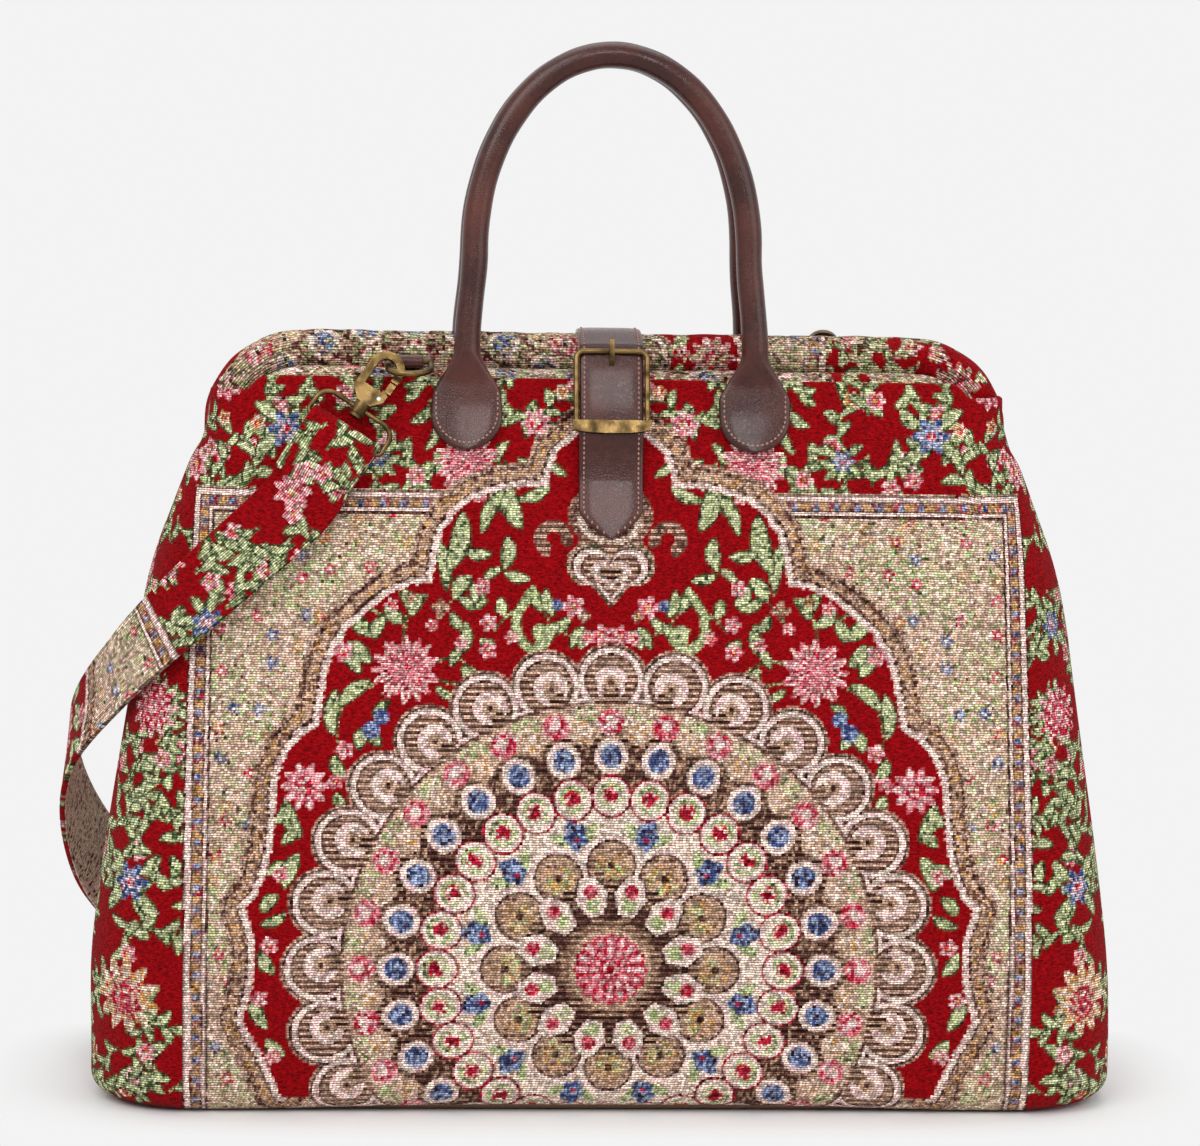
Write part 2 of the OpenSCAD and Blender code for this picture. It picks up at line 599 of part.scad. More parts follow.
front_panel();
rear_panel();
base_panel();
base_board();
front_sleeve();
rear_sleeve();
front_frame();
rear_frame();
hinge_rivets();
front_handle();
rear_handle();
belt_strap();
buckle_frame();
buckle_prong();
buckle_chape();
left_ring_tab();
right_ring_tab();
left_dee_ring();
right_dee_ring();
left_strap_loop();
right_strap_loop();
left_hook();
right_hook();
left_gate();
right_gate();
left_gate_pin();
right_gate_pin();
left_gate_spring();
right_gate_spring();
shoulder_strap();
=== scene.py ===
# %% [markdown]
# # A carpet bag, dressed in Blender
# The solids of the bag are already built and packed. This lesson loads them as a fixed frame, keeps
# the metal as it is, and replaces everything soft: the carpet body, the rolls of its mouth, the rolled
# leather handles, the belt and the shoulder strap. All shapes are in millimetres until they go into a
# mesh, where they become metres. The front faces -Y, +X is to the right and the floor is at z = 0.

# %% Load the frame
import json
import math

import bpy
import numpy as np
from mathutils import Quaternion, Vector
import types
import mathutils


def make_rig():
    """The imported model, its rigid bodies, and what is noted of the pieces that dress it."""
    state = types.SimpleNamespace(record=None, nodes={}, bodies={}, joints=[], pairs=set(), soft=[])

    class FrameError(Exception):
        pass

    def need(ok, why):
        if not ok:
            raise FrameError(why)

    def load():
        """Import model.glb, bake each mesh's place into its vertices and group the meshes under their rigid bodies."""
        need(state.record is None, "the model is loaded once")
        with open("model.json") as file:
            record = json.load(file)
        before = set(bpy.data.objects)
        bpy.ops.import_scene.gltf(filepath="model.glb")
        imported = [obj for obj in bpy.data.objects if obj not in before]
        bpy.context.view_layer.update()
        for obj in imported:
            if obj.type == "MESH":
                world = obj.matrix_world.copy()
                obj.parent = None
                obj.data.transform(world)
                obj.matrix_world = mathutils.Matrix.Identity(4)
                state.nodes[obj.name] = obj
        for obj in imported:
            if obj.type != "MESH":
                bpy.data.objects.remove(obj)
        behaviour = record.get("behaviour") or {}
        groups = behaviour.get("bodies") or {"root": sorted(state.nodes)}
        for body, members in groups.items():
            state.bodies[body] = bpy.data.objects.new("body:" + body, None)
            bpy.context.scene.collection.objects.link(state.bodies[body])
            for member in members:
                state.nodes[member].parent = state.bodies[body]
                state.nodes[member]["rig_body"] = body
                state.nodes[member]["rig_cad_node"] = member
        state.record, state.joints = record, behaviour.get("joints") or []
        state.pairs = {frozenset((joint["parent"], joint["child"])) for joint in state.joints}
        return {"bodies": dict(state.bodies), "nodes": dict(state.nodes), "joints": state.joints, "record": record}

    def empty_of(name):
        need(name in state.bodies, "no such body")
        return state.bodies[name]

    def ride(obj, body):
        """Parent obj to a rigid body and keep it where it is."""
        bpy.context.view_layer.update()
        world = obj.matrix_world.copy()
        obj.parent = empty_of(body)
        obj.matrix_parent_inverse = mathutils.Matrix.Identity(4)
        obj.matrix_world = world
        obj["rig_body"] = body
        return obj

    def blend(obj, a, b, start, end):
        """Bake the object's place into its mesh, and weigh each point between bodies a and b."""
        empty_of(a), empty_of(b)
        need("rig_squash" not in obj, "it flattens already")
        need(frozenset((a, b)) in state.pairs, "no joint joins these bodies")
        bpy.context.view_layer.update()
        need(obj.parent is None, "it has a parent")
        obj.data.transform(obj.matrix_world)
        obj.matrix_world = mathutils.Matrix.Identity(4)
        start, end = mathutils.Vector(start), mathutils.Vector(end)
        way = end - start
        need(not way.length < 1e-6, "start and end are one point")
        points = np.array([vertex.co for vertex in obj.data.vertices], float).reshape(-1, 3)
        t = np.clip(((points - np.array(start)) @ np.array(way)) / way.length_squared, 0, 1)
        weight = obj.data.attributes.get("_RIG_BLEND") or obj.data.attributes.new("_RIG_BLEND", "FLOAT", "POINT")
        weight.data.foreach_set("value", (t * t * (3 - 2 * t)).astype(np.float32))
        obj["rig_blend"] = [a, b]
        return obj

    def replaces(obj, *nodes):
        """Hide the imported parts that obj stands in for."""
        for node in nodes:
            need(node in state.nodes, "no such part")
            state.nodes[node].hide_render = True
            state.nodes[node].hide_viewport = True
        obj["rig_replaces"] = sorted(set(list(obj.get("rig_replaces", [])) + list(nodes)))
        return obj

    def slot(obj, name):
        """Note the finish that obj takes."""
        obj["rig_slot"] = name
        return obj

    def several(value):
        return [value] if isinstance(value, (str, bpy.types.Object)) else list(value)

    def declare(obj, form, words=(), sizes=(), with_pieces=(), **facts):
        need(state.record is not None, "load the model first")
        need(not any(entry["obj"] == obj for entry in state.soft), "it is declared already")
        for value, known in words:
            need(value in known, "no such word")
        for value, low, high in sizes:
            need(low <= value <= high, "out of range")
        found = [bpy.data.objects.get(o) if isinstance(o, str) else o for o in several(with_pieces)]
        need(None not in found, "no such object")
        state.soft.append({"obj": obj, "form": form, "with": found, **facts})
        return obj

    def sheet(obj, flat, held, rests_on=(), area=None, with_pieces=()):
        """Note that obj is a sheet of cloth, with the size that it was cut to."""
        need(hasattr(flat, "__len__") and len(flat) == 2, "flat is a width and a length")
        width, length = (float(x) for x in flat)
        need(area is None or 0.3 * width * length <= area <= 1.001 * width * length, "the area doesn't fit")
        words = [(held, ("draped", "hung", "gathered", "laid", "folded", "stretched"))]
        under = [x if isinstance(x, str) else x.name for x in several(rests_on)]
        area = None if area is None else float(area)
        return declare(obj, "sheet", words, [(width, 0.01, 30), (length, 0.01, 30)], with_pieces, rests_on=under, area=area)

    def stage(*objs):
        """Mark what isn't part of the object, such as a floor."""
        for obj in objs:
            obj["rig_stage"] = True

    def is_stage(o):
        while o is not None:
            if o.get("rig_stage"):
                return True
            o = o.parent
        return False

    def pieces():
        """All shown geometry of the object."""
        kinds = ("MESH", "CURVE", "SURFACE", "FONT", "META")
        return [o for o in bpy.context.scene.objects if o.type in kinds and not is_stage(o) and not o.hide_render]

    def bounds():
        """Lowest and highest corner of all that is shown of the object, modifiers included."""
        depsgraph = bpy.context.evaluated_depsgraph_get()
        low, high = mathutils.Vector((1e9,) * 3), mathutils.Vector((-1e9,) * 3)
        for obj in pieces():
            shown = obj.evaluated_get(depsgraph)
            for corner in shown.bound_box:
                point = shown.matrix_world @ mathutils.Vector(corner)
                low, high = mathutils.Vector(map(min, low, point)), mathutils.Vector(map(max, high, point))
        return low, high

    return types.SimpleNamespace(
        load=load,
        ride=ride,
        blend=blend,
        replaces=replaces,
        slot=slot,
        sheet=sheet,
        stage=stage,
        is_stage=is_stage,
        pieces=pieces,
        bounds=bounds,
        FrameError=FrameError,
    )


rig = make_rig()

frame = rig.load()
cad_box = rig.bounds()
print("frame:", len(frame["nodes"]), "solids in", len(frame["bodies"]), "bodies")

# %% [markdown]
# ## The camera
# The photograph was taken with a long lens, a little above the bag and a few degrees to its left, so
# the near and the far roll of the mouth are almost the same size. A long focal length and a small lens
# shift give that framing; turning the camera instead would tilt the upright sides. The picture itself is
# not quite level, so the camera also rolls by about one degree.

# %% Camera
AZIMUTH, ELEVATION, ROLL, DISTANCE = -3.5, 6.6, 0.95, 1.85
look_at = Vector((0, 0, 0.215))
turn, rise = math.radians(AZIMUTH), math.radians(ELEVATION)
away = Vector((math.sin(turn) * math.cos(rise), -math.cos(turn) * math.cos(rise), math.sin(rise)))
eye = bpy.data.cameras.new("photo_camera")
eye.lens, eye.sensor_width, eye.sensor_fit = 124.6, 36.0, "HORIZONTAL"
eye.shift_x, eye.shift_y = -0.0035, 0.0215
eye.clip_start, eye.clip_end = 0.05, 30
camera = bpy.data.objects.new("photo_camera", eye)
camera.location = look_at + away * DISTANCE
level = (-away).to_track_quat("-Z", "Y")
camera.rotation_euler = (level @ Quaternion((0, 0, 1), math.radians(ROLL))).to_euler()
bpy.context.scene.collection.objects.link(camera)
bpy.context.scene.camera = camera
print("camera at", [round(x, 3) for x in camera.location])

# %% [markdown]
# ## The shape of the bag
# The body is a loft: at each height its outline is a rounded rectangle, upright to about half way and
# then leaning in towards the mouth. The solids were made from a few formulas, and the cloth has to lie
# on them exactly, so the same formulas are repeated here for whole arrays.

# %% Formulas of the body
LEAN = math.radians(17)
COS, SIN, TAN = math.cos(LEAN), math.sin(LEAN), math.tan(LEAN)
BODY_W, BODY_D, CORNER, EDGE = 448.0, 164.0, 40.0, 12.0
BELLY, BELLY_TOP = 4.0, 240.0
SEAM_Y, SEAM_Z, SIDE_TOP, ROD_HALF, MOUTH_HALF = 19.3, 313.0, 284.0, 135.0, 181.0
SIDE_FOOT, SHOULDER_Z, SHOULDER_IN, TOP_IN, CORNER_IN = 45.0, 225.0, 21.0, 43.0, 5.5
REAR_RISE, SLEEVE_R, FRONT_BEND, REAR_BEND = 13.0, 8.5, 19.5, 33.5
LEVEL, CORNER_Z = ROD_HALF + 15, SIDE_TOP + 14
FRONT_Z, REAR_Z = SEAM_Z - 3.5, SEAM_Z + 10.5


def smooth(t):
    """Ease from 0 to 1: 3 t squared less 2 t cubed, held outside that span."""
    t = np.clip(t, 0, 1)
    return t * t * (3 - 2 * t)


def soft_min(a, b, k):
    """The lesser of a and b, with the corner between them rounded over a width k."""
    h = np.maximum(k - np.abs(a - b), 0) / k
    return np.minimum(a, b) - h * h * k / 4


def plane_y(z):
    """Half-depth of the leaning planes at height z."""
    return SEAM_Y + (SEAM_Z - z) * TAN


def edge_inset(z):
    """How far the soft edge round the base has drawn in: a quarter circle."""
    low = np.clip(EDGE - z, 0, EDGE)
    return EDGE - np.sqrt(EDGE**2 - low**2)


def half_depth(z):
    """Upright walls with a slight belly, blended into the leaning planes."""
    wall = BODY_D / 2 + BELLY * np.sin(np.pi * np.minimum(z, BELLY_TOP) / BELLY_TOP)
    return soft_min(plane_y(z), wall, 14) - edge_inset(z)


def half_width(z):
    """The sides come in slowly, faster above the shoulder, and the cloth's top corners a little more."""
    h = np.minimum(z, SIDE_TOP)
    low = SHOULDER_IN * (h - SIDE_FOOT) / (SHOULDER_Z - SIDE_FOOT)
    high = SHOULDER_IN + (TOP_IN - SHOULDER_IN) * (h - SHOULDER_Z) / (SIDE_TOP - SHOULDER_Z)
    drawn = -soft_min(soft_min(-low, 0 * h, 4), -high, 6)
    return BODY_W / 2 - drawn - edge_inset(z) - CORNER_IN * smooth((z - SIDE_TOP + 10) / 26)


def corner(z):
    """Radius of the upright corners, smaller where the bag gets thin."""
    return np.minimum(CORNER, 0.8 * half_depth(z))


def reach(z):
    """Length of cloth from the middle of the front round the corner to the side seam."""
    return half_width(z) - corner(z) + corner(z) * np.pi / 2 + half_depth(z) - corner(z)


def outline(a, z, off=0.0):
    """Point of the front half at cloth length a from the middle: straight, quarter circle, straight."""
    w, d, r = half_width(z) - off, half_depth(z) - off, corner(z) - off
    s = np.abs(a) * (reach(z) - off * 1.5) / reach(z)
    angle = np.clip((s - (w - r)) / r, 0, np.pi / 2)
    x = np.minimum(s, w - r) + r * np.sin(angle)
    y = -d + r * (1 - np.cos(angle)) + np.maximum(0, s - (w - r) - r * np.pi / 2)
    return np.sign(a) * x, y


def panel_top(x, rise):
    """Top edge: level, then a quarter ellipse down to the side seam; the rear one keeps below its roll."""
    f = np.maximum(0, np.abs(x) - LEVEL) / (MOUTH_HALF - LEVEL)
    crest = CORNER_Z + (SEAM_Z + rise - CORNER_Z) * np.sqrt(np.maximum(0, 1 - f * f))
    out = np.maximum(0, np.abs(x) - ROD_HALF)
    roll = REAR_Z - REAR_BEND + np.sqrt(np.maximum(0, (REAR_BEND + SLEEVE_R + 1) ** 2 - out**2)) - 4
    return np.minimum(crest, np.maximum(roll, SIDE_TOP + 3)) if rise > 0 else crest


print("cloth from middle to seam: base %.0f mm, shoulder %.0f mm, mouth %.0f mm" % (
    reach(EDGE), reach(SHOULDER_Z), reach(SEAM_Z)))

# %% [markdown]
# ## The carpet's pattern
# The cloth is a machine-made copy of a prayer rug: a red ground, a cusped arch, pale corners and a round
# medallion. A picture could be pressed on it, but a woven cloth has a colour for each stitch, so the
# pattern is worked out stitch by stitch from simple shapes: rings, lobes, leaves and rosettes. Both halves
# of the design are alike, so a shape is tested against the distance from the middle line, and only the
# specks of single threads differ from side to side.

# %% Dyes and stitches
STITCH, SPECK, DESIGN_SEED = 1.4, 1.05, 3
DYES = {name: np.array(c) / 255 for name, c in {
    "red": (146, 6, 14), "deep_red": (98, 4, 10), "rose": (186, 34, 56), "pink": (222, 122, 134),
    "pale_pink": (246, 202, 200), "cream": (248, 224, 208), "beige": (210, 174, 152), "tan": (186, 150, 124),
    "brown": (110, 74, 62), "dark": (54, 30, 28), "green": (184, 194, 138), "pale_green": (212, 214, 170),
    "deep_green": (66, 84, 52), "blue": (64, 80, 128), "pale_blue": (156, 168, 200), "ochre": (210, 156, 92),
    "gold": (192, 148, 88), "plum": (122, 78, 92),
}.items()}


def linear(c):
    """Screen colour to light: the standard curve of screens, undone."""
    c = np.asarray(c, float)
    return np.where(c <= 0.04045, c / 12.92, ((c + 0.055) / 1.055) ** 2.4)


def spline(points, n):
    """Smooth line through points: a Catmull-Rom curve with n steps between neighbours."""
    p = np.asarray(points, float)
    p = np.vstack([p[0], p, p[-1]])
    t = np.linspace(0, 1, n, endpoint=False)[None, :, None]
    a, b, c, d = p[:-3, None], p[1:-2, None], p[2:-1, None], p[3:, None]
    q = 0.5 * (2 * b + (c - a) * t + (2 * a - 5 * b + 4 * c - d) * t**2 + (3 * b - a - 3 * c + d) * t**3)
    return np.vstack([q.reshape(-1, p.shape[1]), p[-1:]])


def chance(turns, large):
    """A number from 0 to 1 that looks random: the fraction of a large multiple of a sine."""
    n = np.sin(turns) * large
    return n - np.floor(n)


class Weave:
    """Threads of one cloth: u from the middle line and v up the cloth, in mm, with a colour and a pile each."""

    def __init__(self, u, v):
        u, self.v = np.ravel(u), np.ravel(v)
        self.u = np.abs(u)
        cell = np.floor(u / SPECK) * 12.9898 + np.floor(self.v / STITCH) * 78.233
        self.speck = chance(cell, 43758.5453)
        self.rgb = np.tile(DYES["red"], (u.size, 1))
        self.pile = np.ones(u.size)

    def near(self, u, v, reach):
        """Threads within reach of a place, with their offsets from it."""
        i = np.flatnonzero((np.abs(self.u - u) < reach) & (np.abs(self.v - v) < reach))
        return i, self.u[i] - u, self.v[i] - v

    def dye(self, which, name, fleck=None, share=0.3, pile=0.0):
        """Colour the threads which, numbers or a mask, with a share of them flecked in a second colour."""
        i = np.flatnonzero(which) if which.dtype == bool else which
        self.rgb[i] = DYES[name]
        if fleck is not None:
            self.rgb[i[self.speck[i] < share]] = DYES[fleck]
        self.pile[i] = pile

    def lines(self, i, name, other):
        """Colour the threads i, numbers or a mask, by rows: one in one colour, the next in the other."""
        odd = np.floor(self.v[i] / STITCH) % 2 > 0
        self.rgb[i] = np.where(odd[:, None], DYES[other], DYES[name])
        self.pile[i] = 0.0

    def leaf(self, u, v, turn, length, wide, bend=0.0):
        """Half-width is wide times sin(pi a) to the power 0.7 at a share a of the length; bend bows it."""
        i, du, dv = self.near(u, v, length + 3)
        a = (du * np.cos(turn) + dv * np.sin(turn)) / length
        arc = np.sin(np.pi * np.clip(a, 0, 1))
        b = np.abs(dv * np.cos(turn) - du * np.sin(turn) - bend * length * arc)
        edge = wide * arc**0.7
        self.dye(i[(a > 0) & (a < 1) & (b < edge + 0.5)], "deep_green", "dark", 0.3)
        self.dye(i[(a > 0.03) & (a < 0.97) & (b < edge - 0.3)], "green", "pale_green", 0.45)
        self.dye(i[(a > 0.03) & (a < 0.97) & (b < edge - 0.3) & (self.speck[i] > 0.88)], "deep_green")

    def stem(self, points, wide=0.75, name="deep_green", fleck="green"):
        """Thin stalk: threads whose distance from a smooth line is under its half-width."""
        line = spline(points, 6)
        middle, half = (line.min(0) + line.max(0)) / 2, np.ptp(line, axis=0).max() / 2
        i = self.near(*middle, half + 3)[0]
        if i.size:
            far = np.hypot(self.u[i, None] - line[:, 0], self.v[i, None] - line[:, 1]).min(1)
            self.dye(i[far < wide], name, fleck, 0.4)

    def flower(self, u, v, size, petals, petal="pale_pink", edge="pink", heart="rose", eye="ochre"):
        """Rosette: its edge is size times 0.84 + 0.16 cos(petals times the angle)."""
        i, du, dv = self.near(u, v, size + 2)
        far, turn = np.hypot(du, dv), np.arctan2(dv, du)
        lobe = size * (0.84 + 0.16 * np.cos(petals * turn))
        self.dye(i[far < lobe], petal, edge, 0.4)
        self.dye(i[(far < lobe) & (np.cos(petals * turn) < -0.6)], edge, "rose", 0.3)
        self.dye(i[far < 0.45 * size], heart, petal, 0.35)
        self.dye(i[far < 0.2 * size], eye, "cream", 0.3)

    def peony(self, u, v, size):
        """Large layered bloom: pale strokes fan out in two rows of ragged petals."""
        i, du, dv = self.near(u, v, size * 1.1 + 2)
        far, turn = np.hypot(du, dv) / size, np.arctan2(dv, du)
        lobe = 0.86 + 0.14 * np.cos(13 * turn + 1.5 * np.sin(3 * turn))
        stroke = np.cos(26 * turn + 9 * far) > 0.1
        inner, curl = far < 0.55 + 0.1 * np.cos(8 * turn), np.cos(16 * turn - 14 * far)
        self.dye(i[far < lobe], "pink", "rose", 0.25)
        self.dye(i[(far < lobe) & (far > 0.42) & stroke], "pale_pink", "cream", 0.4)
        self.dye(i[inner & (curl < 0)], "rose", "pink", 0.45)
        self.dye(i[inner & (curl > 0.1)], "pale_pink", "pink", 0.4)
        self.dye(i[(far > 0.52) & (far < 0.6) & ~stroke], "rose", "deep_red", 0.3)

    def posy(self, u, v, size):
        """Blue star of six petals with a pale heart, between four leaves."""
        for turn in (0.7, 2.4, 3.9, 5.5):
            foot = u + 0.6 * size * np.cos(turn), v + 0.6 * size * np.sin(turn)
            self.leaf(*foot, turn, 1.5 * size, 0.34 * size, 0.1)
        i, du, dv = self.near(u, v, size + 2)
        far, turn = np.hypot(du, dv), np.arctan2(dv, du)
        self.dye(i[far < size * (0.78 + 0.22 * np.cos(6 * turn))], "blue", "pale_blue", 0.4)
        self.dye(i[(far < 0.6 * size) & (self.speck[i] > 0.75)], "pale_pink")
        self.dye(i[far < 0.25 * size], "pale_pink", "rose", 0.4)

    def spray(self, u, v, turn, curl, kind, rng):
        """Curling stalk: its heading turns evenly along it; leaves on both sides, a flower at its end."""
        heading, step = turn + curl * np.linspace(0, 1, 12), 2.3
        path = np.stack([u + np.cumsum(np.cos(heading)) * step, v + np.cumsum(np.sin(heading)) * step], 1)
        self.stem(path)
        for k, side in ((1, 1), (3, -1), (5, 1), (7, -1), (9, 1)):
            length, wide = rng.uniform(7.5, 12.5), rng.uniform(1.7, 2.5)
            self.leaf(*path[k], heading[k] + side * 0.85, length, wide, side * -0.14)
        if kind < 0.45:
            self.flower(*path[-1], 4.6, 5)
        elif kind < 0.6:
            self.flower(*path[-1], 3.8, 5, "ochre", "cream", "rose")
        else:
            self.leaf(*path[-1], heading[-1], 9.0, 2.2)


print(len(DYES), "dyes, rows of", STITCH, "mm")

# %% [markdown]
# ## The medallion
# It is a round of rings, with 28 cells in the outer ones and 12 in the inner ones. Every cell of a ring
# is the same, so a thread is first turned into its own cell: t runs across the cell and q outwards from
# the ring's middle. One test on t and q then draws all the cells of a ring at once.

# %% Medallion
OUTER, INNER = 28, 12


def medallion(w, centre):
    """Rings round the point (0, centre): scrolls, flowers, drops, discs, lobes, petals and a star."""
    du, dv = w.u, w.v - centre
    far, turn = np.hypot(du, dv), np.arctan2(du, dv)

    def cell(count, shift, ring):
        """Each thread's place in its own cell of a ring: across it, and outwards from the ring's radius."""
        a = ((turn * count / (2 * np.pi) + shift + 0.5) % 1 - 0.5) * 2 * np.pi / count
        return far * np.sin(a), far * np.cos(a) - ring

    # scrolls round the rim: a lobe edged with pale beads, and a pale horseshoe coiled in it
    t, q = cell(OUTER, 0, 127.5)
    d = np.hypot(t, q * 0.96)
    w.dye((d < 16.2) | (far < 126), "beige", "brown", 0.4)
    w.dye((d < 15.2) | (far < 122), "dark", "brown", 0.5)
    w.dye((d < 14.2) | (far < 120), "cream", "pale_pink", 0.35)
    w.dye((d < 11.8) | (far < 118.4), "brown", "dark", 0.45)
    w.lines((d < 10.9) | (far < 117.4), "brown", "beige")
    side = np.where(turn > 0.05, 1.0, 0.0)
    r = np.hypot(t + 1.6 * side, q + 1.2)
    ring = (r < 7.6) & (r > 3.5) & ~((q < -3.2) & (np.abs(t + 3.0 * side) < 3.4))
    w.lines((d < 10.9) & (r < 8.5), "dark", "tan")
    w.dye((d < 10.9) & ring, "cream", "pale_pink", 0.5)
    w.dye((d < 10.9) & (r < 3.4), "tan", "beige", 0.4)
    w.dye((d < 10.9) & (r < 1.3), "dark", "brown", 0.4)
    # a pale ring with pink flowers, over dark points that reach out to them
    t, q = cell(OUTER, 0, 109)
    pale = (far < 116.4) & (far > 98)
    w.dye(pale, "beige", "tan", 0.45)
    w.dye(pale & (w.speck > 0.86), "cream")
    w.dye(pale & (np.abs(t) > 7.0) & (far > 109) & (w.speck < 0.42), "green", "deep_green", 0.07)
    w.dye((far < 110) & (far > 101) & (np.abs(t) > 9.0) & (w.speck < 0.4), "ochre", "cream", 0.2)
    w.lines(far < 107 - 0.75 * np.abs(t), "dark", "tan")
    w.dye(np.hypot(t, q) < 5.9, "pink", "rose", 0.35)
    w.dye((np.hypot(t, q) < 5.9) & (w.speck > 0.72), "pale_pink")
    w.dye(np.hypot(t, q - 1) < 2.4, "pale_pink", "cream", 0.4)
    # blue drops on brown
    w.lines(far < 101 - 0.2 * np.abs(t), "dark", "brown")
    w.dye((far < 101 - 0.2 * np.abs(t)) & (w.speck > 0.75), "tan")
    t, q = cell(OUTER, 0, 93.5)
    d = np.hypot(t, q * (0.84 + 0.12 * (q < 0)) + 0.06 * np.abs(t) * (q > 0))
    w.dye(d < 7.3, "cream", "pale_pink", 0.3)
    w.dye(d < 4.9, "blue", "pale_blue", 0.42)
    w.dye((d < 4.9) & (w.speck > 0.8), "dark")
    # red-edged discs that touch each other
    t, q = cell(OUTER, 0, 76)
    d = np.hypot(t, q * 0.92)
    w.dye(far < 71, "cream", "beige", 0.22)
    w.dye((d < 8.9) & (far < 88), "rose", "deep_red", 0.5)
    w.dye(d < 7.9, "cream", "pale_pink", 0.25)
    w.dye((d < 6.0), "cream", "green", 0.5)
    w.dye((d < 6.0) & (q > 2.2), "green", "deep_green", 0.15)
    w.dye((np.hypot(t, q - 0.6) < 3.8), "rose", "cream", 0.4)
    w.dye((np.hypot(t, q - 0.4) < 2.0), "rose", "deep_red", 0.35)
    # blue flowers between green leaves
    t, q = cell(INNER, 0.5, 60)
    for side in (-1, 1):
        a, b = (t * side - 6.0) * 0.8 + q * 0.6, q * 0.8 - (t * side - 6.0) * 0.6
        w.dye((a / 6.0) ** 2 + (b / 2.4) ** 2 < 1, "green", "pale_green", 0.35)
        w.dye(((a / 6.0) ** 2 + (b / 2.4) ** 2 < 1) & (w.speck > 0.9), "deep_green")
    d = np.hypot(t * 1.25, q * 0.92 - 0.5)
    w.dye(d < 6.0 + 0.7 * np.cos(5 * np.arctan2(q, t)), "blue", "pale_blue", 0.42)
    w.dye((d < 5.6) & (w.speck > 0.8), "dark")
    w.dye(np.hypot(t, q + 1.5) < 1.1, "rose")
    # tan lobes outlined in brown
    t, q = cell(INNER, 0, 46)
    d = np.hypot(t / 10.9, q / 11.2)
    w.dye((d < 1.16) & (far > 30), "cream", "pale_pink", 0.3)
    w.dye(d < 1, "dark", "brown", 0.5)
    w.dye(d < 0.9, "beige", "tan", 0.45)
    w.lines((d < 0.9) & (w.speck > 0.6), "brown", "beige")
    w.dye((d < 0.62) & (w.speck > 0.74), "ochre")
    w.dye((d < 0.66) & (w.speck < 0.3) & (q < 2), "green")
    w.dye(d < 0.16, "dark", "brown", 0.3)
    # pale petals with a red flower in each, then the brown star
    w.lines(far < 40 - 0.4 * np.abs(t), "dark", "tan")
    t, q = cell(INNER, 0.5, 33)
    d = np.maximum(np.abs(t) + 0.45 * np.abs(q), np.abs(q) * 0.85)
    w.dye((d < 8.2) & (q < 8.5), "dark", "brown", 0.3)
    w.dye(d < 7.2, "cream", "pale_pink", 0.25)
    w.dye(np.hypot(t, (q + 3.6) * 0.9) < 3.4, "green", "cream", 0.3)
    w.dye(np.hypot(t, q - 2.2) < 3.1, "rose", "pink", 0.4)
    star = far < 23.5 + 7.0 * np.cos(12 * turn)
    w.lines(star, "dark", "brown")
    w.lines(star & (far < 21.5), "brown", "tan")
    w.lines(far < 18, "tan", "beige")
    # the flower in the middle: rings of dots
    w.dye(far < 15.6 + 0.7 * np.cos(16 * turn), "rose", "pink", 0.3)
    w.dye((far > 9.6) & (far < 14.6) & (np.cos(16 * turn) > -0.1), "pale_pink", "pink", 0.45)
    w.dye((far > 5.2) & (far < 9) & (np.cos(12 * turn) > -0.2), "pale_pink", "pink", 0.45)
    w.dye((far > 1.8) & (far < 3.4), "pale_pink", "rose", 0.25)
    w.dye(far < 1.9, "red", "rose", 0.3)


print("medallion: rings of", OUTER, "and", INNER, "cells")

# %% [markdown]
# ## Arch, field and border
# The arch is one line of cusps, the same on both sides. Its distance field gives the pale line, the tan
# band and the thin dark edge in one go. Vines fill the red inside it, small flowers the pale corners
# outside it, and seeded sprays of leaves and rosettes the red ground round the panel.

# %% Arch and scattered flowers
ARCH = np.array([
    (0, 306), (7.7, 302), (15.4, 294.5), (24.5, 286.2), (27.2, 278.3), (28.2, 271.4), (38, 271.4),
    (48, 270), (60, 266), (69, 259), (74.6, 251), (77, 243), (78.2, 235.8), (79.6, 228), (89, 226.2),
    (99, 221.6), (109, 213.4), (116.8, 205.5), (122.5, 196.3), (125.2, 187.1), (127, 176.6), (128.2, 167),
    (129, 163), (136.5, 158.6), (142.7, 150), (146.3, 140.7), (147.2, 130.8), (147.6, 121), (148.5, 109.3),
    (151.2, 97.2), (155.2, 88.2), (160, 82.9), (158.3, 77), (156, 69.9), (155.6, 60.9), (156.5, 49.3),
    (158.7, 40.8), (161, 33.6), (157.4, 26.4), (152.5, 17.9), (147.6, 7.2), (143.6, -2.7)])
PANEL_TOP, PANEL_SIDE = 269.5, 186.5
BORDER_U, BORDER_V = 177, PANEL_TOP - 10
SCALE, CENTRE, MEDALLION_V, PENDANT_V = 0.98, 64.6, 56.5, 230.5
FIELD = [  # u, v, size, kind
    (64, 282, 15, "peony"), (144, 296, 9, "posy"), (104, 284, 5.5, "posy"), (33, 300, 7, "bloom"),
    (188, 279, 8, "bloom"), (204, 169, 14, "rosette"), (210, 92, 9, "posy"), (213, 43, 17, "palm"),
    (225, 233, 9, "bloom"), (250, 130, 13, "peony"), (254, 71, 8, "posy"), (270, 190, 9, "bloom"),
    (262, 22, 10, "bloom"), (203, 209, 7, "posy"), (172, 316, 8, "bloom"), (119, 312, 5, "bloom"),
    (246, 168, 6, "posy"), (281, 100, 8, "bloom"), (236, 262, 7, "posy")]


